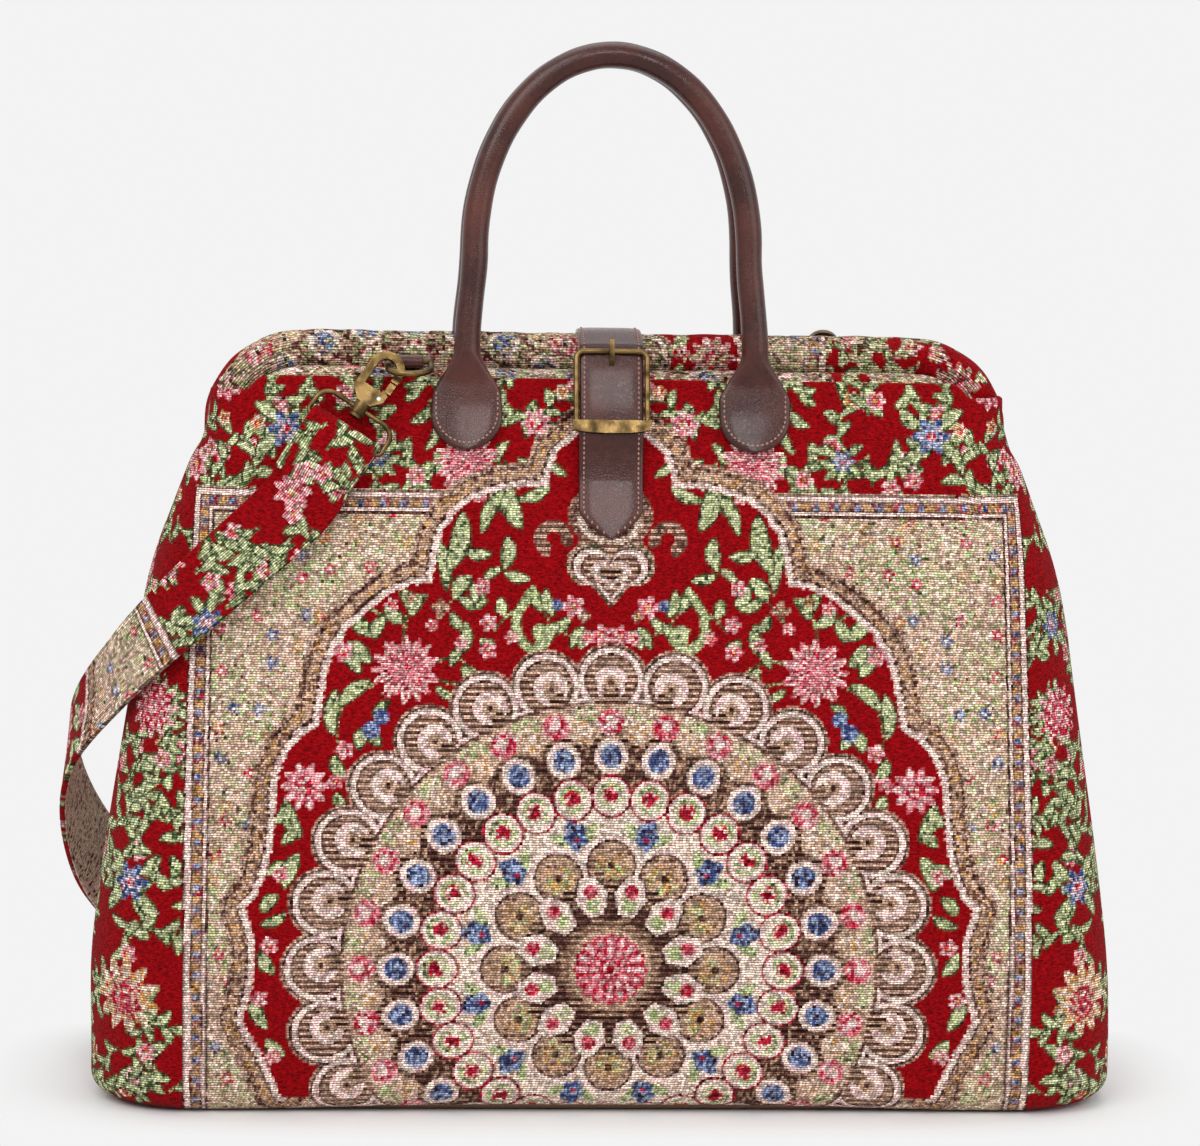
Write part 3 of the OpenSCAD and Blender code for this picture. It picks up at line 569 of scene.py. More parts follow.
def arch_distance(w):
    """Distance of each thread from the arch line, negative inside it."""
    far, inside = np.full(w.u.size, 1e9), np.zeros(w.u.size, bool)
    for p, q in zip(ARCH[:-1], ARCH[1:]):
        s = q - p
        t = np.clip(((w.u - p[0]) * s[0] + (w.v - p[1]) * s[1]) / (s @ s), 0, 1)
        far = np.minimum(far, np.hypot(w.u - p[0] - t * s[0], w.v - p[1] - t * s[1]))
        hit = (p[1] > w.v) != (q[1] > w.v)
        inside ^= hit & (w.u < p[0] + (w.v - p[1]) / (s[1] + 1e-9) * s[0])
    return np.where(inside, -far, far)


def ground(w, rng):
    """The red field outside the panel: sprays on a shaken grid of places, then the larger blooms."""
    for u0 in np.arange(6, 345, 19.0):
        for v0 in np.arange(2, 350, 17.0):
            u, v, turn, curl, kind = u0 + rng.uniform(-5, 5), v0 + rng.uniform(-5, 5), *rng.uniform(0, 1, 3)
            if u > 176 or v > PANEL_TOP - 12:
                w.spray(u, v, turn * 6.28, (curl - 0.5) * 6.5, kind, rng)
    for u, v, r, kind in FIELD:
        if kind == "peony":
            w.peony(u, v, r)
        elif kind == "posy":
            w.posy(u, v, r)
        elif kind == "bloom":
            w.flower(u, v, r, 7)
        elif kind == "rosette":
            w.flower(u, v, r, 12, "pale_pink", "rose", "cream", "ochre")
            w.flower(u, v, r * 0.5, 8, "pink", "rose", "pale_pink", "rose")
        else:
            w.flower(u, v, r, 11, "cream", "ochre", "beige", "rose")
            w.flower(u, v - 2, r * 0.6, 7, "beige", "rose", "cream", "rose")
            w.flower(u, v - 3, r * 0.3, 5, "pink", "rose", "rose")


def spandrels(w, where, rng):
    """Pale corners: sand and green threads in soft patches, strewn with small flowers."""
    i = np.flatnonzero(where)
    patch = np.sin(w.u * 0.09 + 2 * np.sin(w.v * 0.06)) + np.sin(w.v * 0.11 + 1.5 * np.sin(w.u * 0.05 + 1))
    w.dye(i, "beige", "cream", 0.22)
    w.dye(i[(w.speck[i] > 0.76 - 0.12 * patch[i])], "green", "pale_green", 0.5)
    w.dye(i[w.speck[i] > 0.93], "tan")
    w.dye(i[w.speck[i] < 0.02], "brown")
    kinds = [("rose", "pink"), ("ochre", "rose"), ("blue", "pale_blue"), ("ochre", "tan"), ("pink", "rose")]
    for u0 in np.arange(4, 181, 15.0):
        for v0 in np.arange(6, 270, 14.0):
            u, v = u0 + rng.uniform(-5, 5), v0 + rng.uniform(-5, 5)
            k, turn = rng.integers(0, 5), rng.uniform(0, 6.28)
            i, du, dv = w.near(u, v, 8)
            far = np.hypot(du, dv)
            petal = 2.5 + 0.8 * np.cos(5 * np.arctan2(dv, du))
            sprig = (np.abs(dv * np.cos(turn) - du * np.sin(turn)) < 0.8) & (far < 6.5) & (far > 2.6)
            w.dye(i[where[i] & sprig & (w.speck[i] < 0.75)], "deep_green", "green", 0.4)
            w.dye(i[where[i] & (far < petal) & (w.speck[i] < 0.9)], kinds[k][0], kinds[k][1], 0.4)
            w.dye(i[where[i] & (far < 0.9)], "cream")


print("arch of", len(ARCH), "points a side")

# %% [markdown]
# ## Vines inside the arch
# Each spray is a few stalks with leaves and flowers along them. They are given for the right half and
# drawn again mirrored, as on the cloth. A leaf is told by its base and its tip.

# %% Vines
STALKS = [
    [(47, 282), (46, 270.6), (41.6, 258.4)], [(72.8, 224), (74, 235), (76.7, 245.1)],
    [(87, 219), (90.5, 210), (91.6, 202)], [(114, 214), (107.4, 215), (100.7, 212)],
    [(77.2, 192), (68.3, 193), (59.4, 187.5)], [(78.3, 184), (69.4, 182)],
    [(105, 181), (116, 174), (120.6, 160), (117.3, 150)], [(80.5, 205.5), (75, 213), (66, 224), (51.6, 231.6)],
    [(51.6, 206.6), (45, 213), (37.2, 218)], [(32.7, 220), (26, 209), (15, 202)]]
SCROLLS = [
    [(36, 222), (41.5, 213), (41, 204), (35, 197)],
    [(35, 197), (28.5, 201), (28.5, 206), (32.5, 206.5), (32, 203)]]
LEAVES = [
    (46.6, 280, 50.5, 261.7, 0.16), (46, 274, 40.5, 254.3, 0.2), (41, 264.9, 28.8, 270.6, 0.2),
    (47, 270, 56, 252.3, 0.14), (53.8, 268.5, 52.7, 277, 0.2), (41.6, 284, 31.6, 280, 0.2),
    (27.7, 283, 20.5, 277, 0.2), (72.8, 224, 77.8, 245.1, 0.14), (72, 232.4, 66.6, 256.2, 0.18),
    (65.5, 241.9, 54.4, 240.4, 0.24), (47.2, 233.5, 46, 246.7, 0.24), (47.7, 232.4, 37.2, 229.6, 0.22),
    (48.3, 234, 55.5, 229, 0.2), (62.2, 230.7, 68.8, 221.2, 0.3), (67.7, 220.6, 57.7, 217.3, 0.24),
    (87.7, 218.4, 92.7, 221.8, 0.3), (87.7, 218.4, 82.2, 221.2, 0.3), (100, 216, 92.2, 210, 0.3),
    (114.5, 212.3, 105.5, 204.5, 0.28), (115.6, 201, 111, 187.7, 0.24), (66, 195, 64.4, 207.9, 0.2),
    (65, 199, 70, 191, 0.22), (49, 221, 47.2, 213.4, 0.34), (35, 227, 31, 216, 0.2),
    (29, 225, 26, 214, 0.22), (121, 179, 122, 161, 0.17), (106, 183, 117.8, 173, 0.2),
    (107, 162.6, 111, 153.6, 0.3), (106, 161.5, 101.7, 154.8, 0.3), (58.3, 201.7, 51.6, 199.5, 0.3),
    (18, 211.7, 22.7, 205.6, 0.3), (11.6, 208.4, 17, 199.5, 0.2), (97, 174, 103.8, 168, 0.2),
    (77.2, 180.5, 69.4, 176, 0.2), (143, 130.5, 136.5, 115.4, 0.2), (136.5, 116, 143, 111.5, 0.3),
    (153, 75.6, 143, 80, 0.2), (156, 44.5, 150.5, 31, 0.2), (141, 102, 149, 97.8, 0.3),
    (121, 133.4, 116.5, 126.7, 0.3), (150.5, 24.5, 143, 17.8, 0.3), (153.4, 64.5, 147.6, 55.6, 0.26),
    (136.5, 106.7, 141.8, 93.4, 0.24), (145.4, 89, 151.6, 82, 0.3), (113, 201, 107, 192, 0.3),
    (84, 222, 88, 213, 0.3), (92, 224, 86, 216, 0.28), (100, 212, 104, 203, 0.28), (62, 226, 56, 219, 0.3),
    (71, 214, 66, 207, 0.26), (23, 210, 27, 203, 0.3), (9, 206, 13, 199, 0.3),
    (66, 190, 60, 184, 0.3), (122, 150, 118, 141, 0.28), (128, 122, 124, 113, 0.3), (147, 120, 141, 127, 0.3)]
BUDS = [(58.3, 267, 3.6), (32, 281.7, 3.4), (57, 225.6, 4.2), (118, 196, 5), (54, 209.5, 4), (16.6, 217, 5.5),
        (54.4, 197, 4.2), (4, 204.5, 4.5), (117, 152, 4.4), (144.5, 97.8, 4), (114, 140, 4), (149, 66.7, 4.2),
        (147, 17, 4), (121, 138.1, 3.6), (153.4, 43, 4), (66, 200, 3.4), (44, 203, 3.2), (10, 203, 3.6),
        (97, 217, 3.4), (79, 208, 3)]


def vines(w):
    """Stalks, leaves and flowers of the red field in the arch, and the pendant that hangs from its top."""
    for line in STALKS:
        w.stem(line)
    for u0, v0, u1, v1, wide in LEAVES:
        long = np.hypot(u1 - u0, v1 - v0)
        w.leaf(u0, v0, np.arctan2(v1 - v0, u1 - u0), long * 1.15, max(long * wide, 1.9), 0.08)
    for line in SCROLLS:
        w.stem(line, 2.3)
        w.stem(line, 1.6, "green", "pale_green")
    for u, v, r in BUDS:
        w.flower(u, v, r, 5)
    for u, v, r in [(23.8, 217.8, 2.6), (101.2, 167, 3.6), (105.4, 161, 4)]:
        i, du, dv = w.near(u, v, r + 1)
        w.dye(i[np.hypot(du, dv) < r], "blue", "pale_blue", 0.4)
    for u, v, r in [(75.5, 216, 4.4), (11.6, 212.8, 3), (88.3, 220, 3)]:
        w.flower(u, v, r, 4, "beige", "brown", "ochre", "dark")
    w.peony(90.6, 188, 15.2)
    w.flower(134.3, 136, 10.6, 10, "pale_pink", "pink", "rose", "rose")
    pendant(w)


def pendant(w):
    """Ornament hung from the arch: hearts inside each other, two curled arms and a dome behind the belt."""
    up = w.v - PENDANT_V
    curl, angle = np.hypot(w.u - 25.5, up - 17), np.degrees(np.arctan2(up - 17, w.u - 25.5))
    arm = (curl > 3.2) & (curl < 8.6) & ((angle > -75) | (angle < -150)) & ~((angle > -150) & (angle < -75))
    body = (np.hypot(w.u / 19, (up - 28) / 15) < 1) | ((w.u < 14) & (up > 4) & (up < 28)) | arm
    w.dye(body, "beige", "brown", 0.5)
    w.lines(body & (w.speck > 0.35), "brown", "beige")
    w.dye((w.u < 17) & (np.abs(np.hypot(w.u / 13, (up - 26) / 10) - 1) < 0.12), "cream", "tan", 0.3)

    def heart(scale):
        """Inside of a heart: a round lobe on each side, and two straight edges down to the point."""
        x, y = w.u / scale, (up - 1) / scale
        return (np.hypot(x - 10.2, y - 4.5) < 9.6) | ((y > 1.22 * x - 15) & (y < 5) & (x < 18))

    for scale, name, fleck in ((1.0, "beige", "deep_green"), (0.9, "dark", "brown"),
                               (0.84, "cream", "pale_pink"), (0.68, "brown", "dark")):
        w.dye(heart(scale), name, fleck, 0.4)
    w.lines(heart(0.62), "brown", "beige")
    w.dye(heart(0.44), "cream", "pale_pink", 0.4)
    w.lines(heart(0.28), "dark", "tan")


def border(w, far):
    """Straight frame of the panel: pale lines on both sides of a band of mixed threads."""
    beside, above = w.u - BORDER_U, w.v - BORDER_V
    out = np.maximum(beside, above)
    i = np.flatnonzero((out > -1.4) & (out < 9.5) & (far > 10.6))
    o, along = out[i], 0.66 * np.where(beside[i] > above[i], w.v[i], w.u[i])
    speck, band = w.speck[i], (o > 1.0) & (o < 6.2)
    w.dye(i, "cream", "pale_pink", 0.35)
    w.dye(i[band], "beige", "tan", 0.4)
    w.dye(i[band & (np.cos(along) > 0) & (speck > 0.45)], "ochre", "brown", 0.6)
    w.dye(i[band & (np.cos(along) <= 0) & (speck > 0.5)], "plum", "rose", 0.65)
    w.dye(i[band & (np.abs(o - 3.6) < 1.3) & (np.cos(along + 2.2) > 0.75)], "pale_blue", "blue", 0.4)
    w.dye(i[(o > 1.0) & (o < 1.7) | (o > 5.5) & (o < 6.2)], "brown", "dark", 0.5)
    w.dye(i[o < -0.3], "brown", "dark", 0.4)
    w.dye(i[o > 8.7], "dark", "deep_red", 0.4)


def carpet(u, v):
    """Weave the whole design at the places u, v of the cloth; the medallion's middle is at height CENTRE."""
    w, rng = Weave(u / SCALE, (v - CENTRE) / SCALE + MEDALLION_V), np.random.default_rng(DESIGN_SEED)
    far = arch_distance(w)
    ground(w, rng)
    panel = (w.u < PANEL_SIDE) & (w.v < PANEL_TOP)
    spandrels(w, panel & (far > 0), rng)
    w.dye(far < 0, "red", pile=1.0)
    vines(w)
    band = np.flatnonzero((far > -0.8) & (far < 10.8))
    f, speck = far[band] + 0.5 * np.sin(w.u[band] * 1.6 + w.v[band] * 1.9), w.speck[band]
    w.dye(band[(f > -0.4) & (f < 2.6)], "cream", "pale_pink", 0.35)
    w.dye(band[(f >= 2.6) & (f < 9.0)], "tan", "beige", 0.35)
    w.dye(band[(f >= 3.6) & (f < 8.2) & (speck > 0.62)], "brown")
    w.dye(band[(f >= 3.6) & (f < 8.2) & (speck > 0.85)], "ochre")
    w.dye(band[(np.abs(f - 2.9) < 0.5) | (np.abs(f - 8.6) < 0.5)], "brown", "dark", 0.5)
    w.dye(band[f >= 9.0], "beige", "brown", 0.35)
    medallion(w, MEDALLION_V)
    border(w, far)
    return w


print(len(STALKS), "stalks,", len(LEAVES), "leaves and", len(BUDS), "buds in each half of the arch")

# %% [markdown]
# ## Putting a grid into a mesh
# Every soft piece here is a grid of points, worked out as one array. One helper turns such grids into a
# mesh: it numbers the corners of the quads and stores the cloth's own lengths as a UV map, in metres, so a
# material can draw threads at their true size. Each corner of a face has a dye of its own, taken half way
# to the face's middle, which makes the weave twice as fine as the mesh.

# %% Grid to mesh
def quads(rows, cols, wrap=False):
    """Corner numbers of the quads of a rows by cols grid, closed across the columns if wrap is set."""
    r, c = np.meshgrid(np.arange(rows - 1), np.arange(cols if wrap else cols - 1), indexing="ij")
    n = (c + 1) % cols
    return np.stack([r * cols + c, r * cols + n, (r + 1) * cols + n, (r + 1) * cols + c], -1).reshape(-1, 4)


def corners(grid):
    """Value at the four corners of each quad of a grid, in the order that quads gives."""
    four = np.stack([grid[:-1, :-1], grid[:-1, 1:], grid[1:, 1:], grid[1:, :-1]], 2)
    return four.reshape(-1, 4, *grid.shape[2:])


def threads(u, v, flip=False):
    """Places of the four dyes of each quad: half way from its corners to its middle."""
    place = np.stack([corners(u), corners(v)], -1)
    place = place[:, ::-1] if flip else place
    place = (place + place.mean(1, keepdims=True)) / 2
    return place[..., 0], place[..., 1]


def piece(name, points, faces, uv=None, dye=None, pile=None, finish=None):
    """Mesh object from points in millimetres; uv, dye and pile are one value for each corner of each face."""
    mesh = bpy.data.meshes.new(name)
    mesh.from_pydata((np.asarray(points) / 1000).tolist(), [], [list(f) for f in faces])
    mesh.polygons.foreach_set("use_smooth", np.ones(len(mesh.polygons), bool))
    if uv is not None:
        mesh.uv_layers.new(name="cloth").data.foreach_set("uv", (np.asarray(uv) / 1000).ravel())
    if dye is not None:
        colour = np.ones((len(mesh.loops), 4))
        colour[:, :3] = linear(dye)
        mesh.attributes.new("dye", "FLOAT_COLOR", "CORNER").data.foreach_set("color", colour.ravel())
        mesh.attributes.new("pile", "FLOAT", "CORNER").data.foreach_set("value", np.asarray(pile, float))
    mesh.materials.append(finish)
    mesh.update()
    made = bpy.data.objects.new(name, mesh)
    bpy.context.scene.collection.objects.link(made)
    print("%-18s %6d faces" % (name, len(mesh.polygons)))
    return made


def on_bag(made, slot, node=None):
    """Let a piece ride on the bag, name its material slot, and hide the solid that it stands for."""
    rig.ride(made, "bag"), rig.slot(made, slot)
    if node:
        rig.replaces(made, node)
    return made


# %% [markdown]
# ## Shader maths in plain Python
# A material is a web of nodes. To write it as a formula, a small class wraps one socket: adding or
# multiplying two of them adds the Math node that does it. Any other node comes from one method.

# %% Sockets as numbers
class Wire:
    """An output socket of a node tree, with arithmetic that adds nodes."""

    def __init__(self, tree, socket=None):
        self.tree, self.socket = tree, socket

    def feed(self, made, inputs):
        """Link the inputs of a node that get a socket, and fill in the others."""
        for key, value in inputs.items():
            if isinstance(value, Wire):
                self.tree.links.new(value.socket, made.inputs[key])
            else:
                made.inputs[key].default_value = value

    def node(self, kind, settings=None, inputs=None, out=0):
        """Add a node of a kind, set its settings, feed its inputs, and give one of its outputs, if it has any."""
        made = self.tree.nodes.new(kind)
        for key, value in (settings or {}).items():
            setattr(made, key, value)
        self.feed(made, inputs or {})
        return Wire(self.tree, made.outputs[out] if len(made.outputs) else None)

    def math(self, kind, a, b=0.0):
        """A Math node on one or two values."""
        return self.node("ShaderNodeMath", {"operation": kind}, {0: a, 1: b})

    def __add__(self, b): return self.math("ADD", self, b)
    __radd__ = __add__
    def __sub__(self, b): return self.math("SUBTRACT", self, b)
    def __rsub__(self, b): return self.math("SUBTRACT", b, self)
    def __mul__(self, b): return self.math("MULTIPLY", self, b)
    __rmul__ = __mul__
    def __truediv__(self, b): return self.math("DIVIDE", self, b)
    def __rtruediv__(self, b): return self.math("DIVIDE", b, self)
    def __pow__(self, b): return self.math("POWER", self, b)
    def __rpow__(self, b): return self.math("POWER", b, self)
    def floor(self): return self.math("FLOOR", self)
    def fract(self): return self.math("FRACT", self)
    def sine(self): return self.math("SINE", self)
    def size(self): return self.math("ABSOLUTE", self)
    def clamp(self): return self.node("ShaderNodeClamp", None, {0: self})

    def mix(self, a, b):
        """Colour between a and b, this value being the share of b."""
        return self.node("ShaderNodeMix", {"data_type": "RGBA"}, {0: self, 6: a, 7: b}, 2)

    def tint(self, colour, amount):
        """Colour times a value."""
        return self.node("ShaderNodeVectorMath", {"operation": "SCALE"}, {0: colour, "Scale": amount})


def finish_of(name, build, **fixed):
    """New material; build gets a Wire and returns what feeds the Principled shader's sockets by name."""
    material = bpy.data.materials.new(name)
    material.use_nodes = True
    w = Wire(material.node_tree)
    shader = next(n for n in w.tree.nodes if n.type == "BSDF_PRINCIPLED")
    w.feed(shader, {key.replace("_", " "): value for key, value in fixed.items()})
    w.feed(shader, build(w))
    return material


def rgb(*c):
    """Screen colour, 0 to 255, as a light colour with alpha."""
    return (*linear(np.array(c) / 255), 1.0)


# %% [markdown]
# ## Finishes
# The carpet takes its colour from the stitches. Between them the yarn sinks into shade, the flat weave
# shows ribs along each row, and the red ground is a chenille pile with a rough, fuzzy surface. Leather is
# dark with pores and pale wear, brass is warm and tarnished in patches, steel is plain and bright.

# %% Materials
RIB, KNOT = 1.06, 1.5  # a row of yarn and a knot along it, in mm
OBJECT = 3  # the Texture Coordinate node's output for a place on the object


def noise(place, scale, detail, **more):
    """Smooth noise from 0 to 1 at a place."""
    return place.node("ShaderNodeTexNoise", None, {"Vector": place, "Scale": scale, "Detail": detail, **more})


def relief(height, strength, depth):
    """Bump that raises the surface by a height's pattern."""
    return height.node("ShaderNodeBump", None, {"Strength": strength, "Distance": depth, "Height": height})


def carpet_nodes(w):
    """Yarn height is a half sine across each row and each knot; the pile adds fine noise to it."""
    cloth = w.node("ShaderNodeUVMap", {"uv_map": "cloth"})
    u, v = (w.node("ShaderNodeSeparateXYZ", None, {0: cloth}, k) for k in (0, 1))
    row = v * (1000 / RIB) + (noise(cloth, 170.0, 2.0) - 0.5)
    start = w.node("ShaderNodeTexWhiteNoise", {"noise_dimensions": "1D"}, {1: row.floor()})
    col = u * (1000 / KNOT) + start * 4
    rib = (row.fract() * math.pi).sine()
    knot = (col.fract() * math.pi).sine()
    dye = w.node("ShaderNodeAttribute", {"attribute_name": "dye"})
    pile = w.node("ShaderNodeAttribute", {"attribute_name": "pile"}, None, 2)

    def each(a, b):
        """A chance of its own, 0 to 1, for each cell that a and b count."""
        cell = w.node("ShaderNodeCombineXYZ", None, {0: a.floor(), 1: b.floor()})
        return w.node("ShaderNodeTexWhiteNoise", {"noise_dimensions": "2D"}, {0: cell})

    own, thin = each(col, row), each(col * 2, row * 2)
    place = w.node("ShaderNodeTexCoord", None, None, OBJECT)
    long = w.node("ShaderNodeVectorMath", {"operation": "MULTIPLY"}, {0: place, 1: (0.45, 0.45, 1.0)})
    fuzz, worn = noise(long, 1250.0, 3.0, Roughness=0.6), noise(place, 22.0, 3.0)
    flat = (rib ** 0.8) * (0.5 + 0.5 * knot)
    tuft = ((fuzz - 0.5) * 2.6 + 0.5).clamp()
    height = flat + pile * (tuft - flat)
    shade_flat = (0.05 + 1.55 * flat) * (0.4 + 0.98 * own) * (0.76 + 0.48 * thin)
    shade_pile = (0.36 + tuft) * (0.84 + 0.32 * thin)
    shade = (shade_flat + pile * (shade_pile - shade_flat)) * (0.9 + 0.2 * worn)
    bump = relief(height, 0.6, 0.0007)
    return {"Base Color": w.tint(dye, shade), "Normal": bump, "Roughness": 0.96 - 0.1 * flat}


def leather_nodes(w):
    """Smooth polished hide: fine pores and grain, and broad worn patches of a paler brown."""
    place = w.node("ShaderNodeTexCoord", None, None, OBJECT)
    pores = w.node("ShaderNodeTexVoronoi", {"feature": "DISTANCE_TO_EDGE"}, {"Vector": place, "Scale": 900.0})
    grain, broad = noise(place, 420.0, 4.0), noise(place, 30.0, 3.0)
    wear = ((broad - 0.5) * 2.4 + 0.3 + (grain - 0.5) * 0.8).clamp()
    colour = wear.mix(rgb(54, 18, 12), rgb(92, 42, 31))
    dark = (1 - pores * 9).clamp()
    colour = (dark * 0.25).mix(colour, rgb(36, 16, 12))
    bump = relief(pores * 4 + grain * 0.6, 0.16, 0.0003)
    return {"Base Color": colour, "Normal": bump, "Roughness": 0.22 + 0.18 * wear}


def brass_nodes(w):
    """Antique brass: a brown patina over yellow metal, rubbed bright in patches, with fine scratches."""
    place = w.node("ShaderNodeTexCoord", None, None, OBJECT)
    broad, fine = noise(place, 160.0, 5.0), noise(place, 1300.0, 2.0)
    tarnish = ((broad - 0.42) * 4).clamp()
    colour = (tarnish * 0.85).mix(rgb(120, 97, 60), rgb(54, 42, 27))
    rough = 0.24 + 0.2 * tarnish + 0.1 * fine
    return {"Base Color": colour, "Normal": relief(fine, 0.2, 0.0002), "Roughness": rough}


def steel_nodes(w):
    """Plain bright steel with a light brushed noise."""
    fine = noise(w.node("ShaderNodeTexCoord", None, None, OBJECT), 900.0, 3.0)
    colour = fine.mix(rgb(150, 150, 152), rgb(196, 196, 198))
    return {"Base Color": colour, "Roughness": 0.3 + 0.2 * fine}


def plain_nodes(low, high, scale):
    """Plain cloth or board: two near colours in fine noise, with a matching bump."""
    def build(w):
        """The nodes of one such finish."""
        fine = noise(w.node("ShaderNodeTexCoord", None, None, OBJECT), scale, 3.0)
        colour = fine.mix(rgb(*low), rgb(*high))
        return {"Base Color": colour, "Normal": relief(fine, 0.4, 0.0004), "Roughness": 0.85 + 0.1 * fine}
    return build


CARPET = finish_of(
    "carpet_cloth", carpet_nodes, Sheen_Weight=0.03, Sheen_Roughness=0.5, Specular_IOR_Level=0.04)
LEATHER = finish_of(
    "brown_leather", leather_nodes, Specular_IOR_Level=0.3, Coat_Weight=0.16, Coat_Roughness=0.12)
BRASS = finish_of("old_brass", brass_nodes, Metallic=1.0)
STEEL = finish_of("frame_steel", steel_nodes, Metallic=1.0)
LINING = finish_of("cotton_lining", plain_nodes((92, 66, 48), (128, 96, 70), 700.0))
BASE_CLOTH = finish_of("base_cloth", plain_nodes((58, 30, 24), (92, 50, 38), 700.0))
BOARD = finish_of("base_board", plain_nodes((132, 116, 96), (168, 150, 126), 420.0))
THREAD = finish_of("waxed_thread", plain_nodes((146, 104, 92), (190, 150, 136), 1500.0))
print("finishes:", len(bpy.data.materials))

# %% [markdown]
# ## The two panels
# Each half of the body is one piece of carpet, wrapped from the middle of the front round both corners to
# the side seams. A cloth simulation of a hundred thousand stitches would be slow and would blur the
# weave, so the loft is bent directly: it billows between the seams, draws in at the side seams, lifts a
# little along the middle of the base and folds over at the mouth.

# %% Panels
LIFT, LIFT_HALF, BASE_Z = 2.2, 125.0, 0.4  # the front's lifted middle, and the height of the panels' lower edge
CLOTH_HALF, STILL = 289.5, 150.0  # half of the cut width, and the part of it that keeps its width all the way up
SEAM_IN, FOLD_R = 1.6, 1.5  # how far the side seams draw in, and the radius of the fold at the mouth
DRAPE_Z, FRONT_ROUND = 243.0, 194.0  # above this height the rows draw down to the crest; its end on the front
TURNED = np.array([-1, -1, 1.0])  # half a turn about the upright axis, from the front to the back


def unit(v):
    """Each vector scaled to length one."""
    return v / np.maximum(np.linalg.norm(v, axis=-1, keepdims=True), 1e-9)


def length_along(line):
    """Length of a line up to each of its points: the sum of the steps before it."""
    return np.concatenate([[0], np.cumsum(np.linalg.norm(np.diff(line, axis=0), axis=1))])


def rows_of(rise, pitch):
    """Heights that are evenly spaced along the cloth, from under the base edge to the mouth."""
    z = np.linspace(BASE_Z, SEAM_Z + rise, 4000)
    run = length_along(np.stack([half_depth(z), z], 1))
    even = np.linspace(0, run[-1], int(run[-1] / pitch) + 1)
    return np.interp(even, run, z), even - np.interp(EDGE, z, run) + EDGE


def normals(p):
    """Outward direction on a grid: across the columns times up the rows."""
    return unit(np.cross(np.gradient(p, axis=1), np.gradient(p, axis=0)))


def base_lift(x):
    """Height by which the lower edge stands off the floor: most in the middle, fading as exp of x to the 4th."""
    return LIFT * np.exp(-((x / LIFT_HALF) ** 4))


def billow(a, z, seed):
    """Soft swells of stuffed cloth: a few long waves, gone near the seams, the mouth and the base."""
    rng = np.random.default_rng(seed)
    swell = 0 * a
    for _ in range(7):
        fa, fz, pa, pz = rng.uniform(0.008, 0.03), rng.uniform(0.008, 0.028), *rng.uniform(0, 6.28, 2)
        swell = swell + np.sin(fa * a + pa) * np.sin(fz * z + pz)
    hang = smooth((z - 12) / 60) * smooth((262 - z) / 70)
    return hang * (0.75 * swell + 0.6)


def panel_grid(rise, columns=397, off=0.0, pitch=STITCH):
    """Points of the front half, and the cloth length a and height v of each; the rear half mirrors it."""
    row_z, row_v = rows_of(rise, pitch)
    u = np.linspace(-CLOTH_HALF, CLOTH_HALF, columns)[None, :]

    def spread(span):
        """Cloth lengths fitted to a span: the still middle as it is, the rest scaled to end at the seam."""
        scale = (span - STILL) / (CLOTH_HALF - STILL)
        return np.where(np.abs(u) < STILL, u, np.sign(u) * (STILL + (np.abs(u) - STILL) * scale))

    # the front corners round off early, above the front roll; the rear edge keeps beside its own roll
    top_u = spread(reach(np.array(SEAM_Z))) if rise > 0 else np.clip(u, -FRONT_ROUND, FRONT_ROUND)
    crest = panel_top(outline(top_u, np.full_like(u, SEAM_Z))[0], rise)
    z = row_z[:, None] + 0 * u
    high = np.maximum(z - DRAPE_Z, 0) / (SEAM_Z + rise - DRAPE_Z)
    z = np.where(z > DRAPE_Z, DRAPE_Z + high * (crest - DRAPE_Z), z)
    a = spread(reach(z))
    x, y = outline(a, z, off)
    return np.stack([x, y, z], -1), a, np.interp(z, row_z, row_v), z


def panel(name, node, way, rise, seed):
    """One panel: the grid billows along its normals and folds over at the mouth."""
    p, a, v, z = panel_grid(rise)
    n = normals(p)
    seam = np.exp(-(((reach(z) - np.abs(a)) / 5.0) ** 2))
    lift = base_lift(p[..., 0]) * (1 - smooth(z / 60)) * (way < 0)
    p = p + n * (billow(a, z, seed) - SEAM_IN * seam)[..., None]
    p[..., 2] += lift
    # fold at the mouth: a half turn to the inner face
    inward, up = -n[-1], unit(np.gradient(p, axis=0)[-1])
    turn = np.radians([35, 70, 110, 145, 180])[:, None, None]
    fold = p[-1] + FOLD_R * (inward * (1 - np.cos(turn)) + up * np.sin(turn))
    # along the front it goes on down; at the ends of the mouth it turns in and closes them
    end = smooth((np.abs(p[-1, :, 0]) - LEVEL) / 16)[:, None]
    step = np.array([3.0, 6.0, 9.0, 12.0])[:, None, None]
    level_in = inward * np.array([1, 1, 0.0])
    tail = fold[-1:] - up * step * (1 - 0.8 * end) + level_in * step * 1.3 * end
    p = np.concatenate([p, fold, tail])
    extra = v[-1:] + np.array([0.8, 1.6, 2.6, 3.5, 4.6, 7.6, 10.6, 13.6, 16.6])[:, None]
    v, a = np.concatenate([v, extra]), np.concatenate([a, np.repeat(a[-1:], len(extra), 0)])
    p = p * TURNED if way > 0 else p
    rows, cols = p.shape[:2]
    w = carpet(*threads(a, v))
    # the threads of the material follow the mesh: one row of yarn to a row of faces
    lane = np.stack([a, np.repeat(np.arange(rows) * STITCH, cols).reshape(rows, cols)], -1)
    lane = corners(lane).reshape(-1, 2)
    return on_bag(piece(name, p.reshape(-1, 3), quads(rows, cols), lane, w.rgb, w.pile, CARPET), "carpet", node)


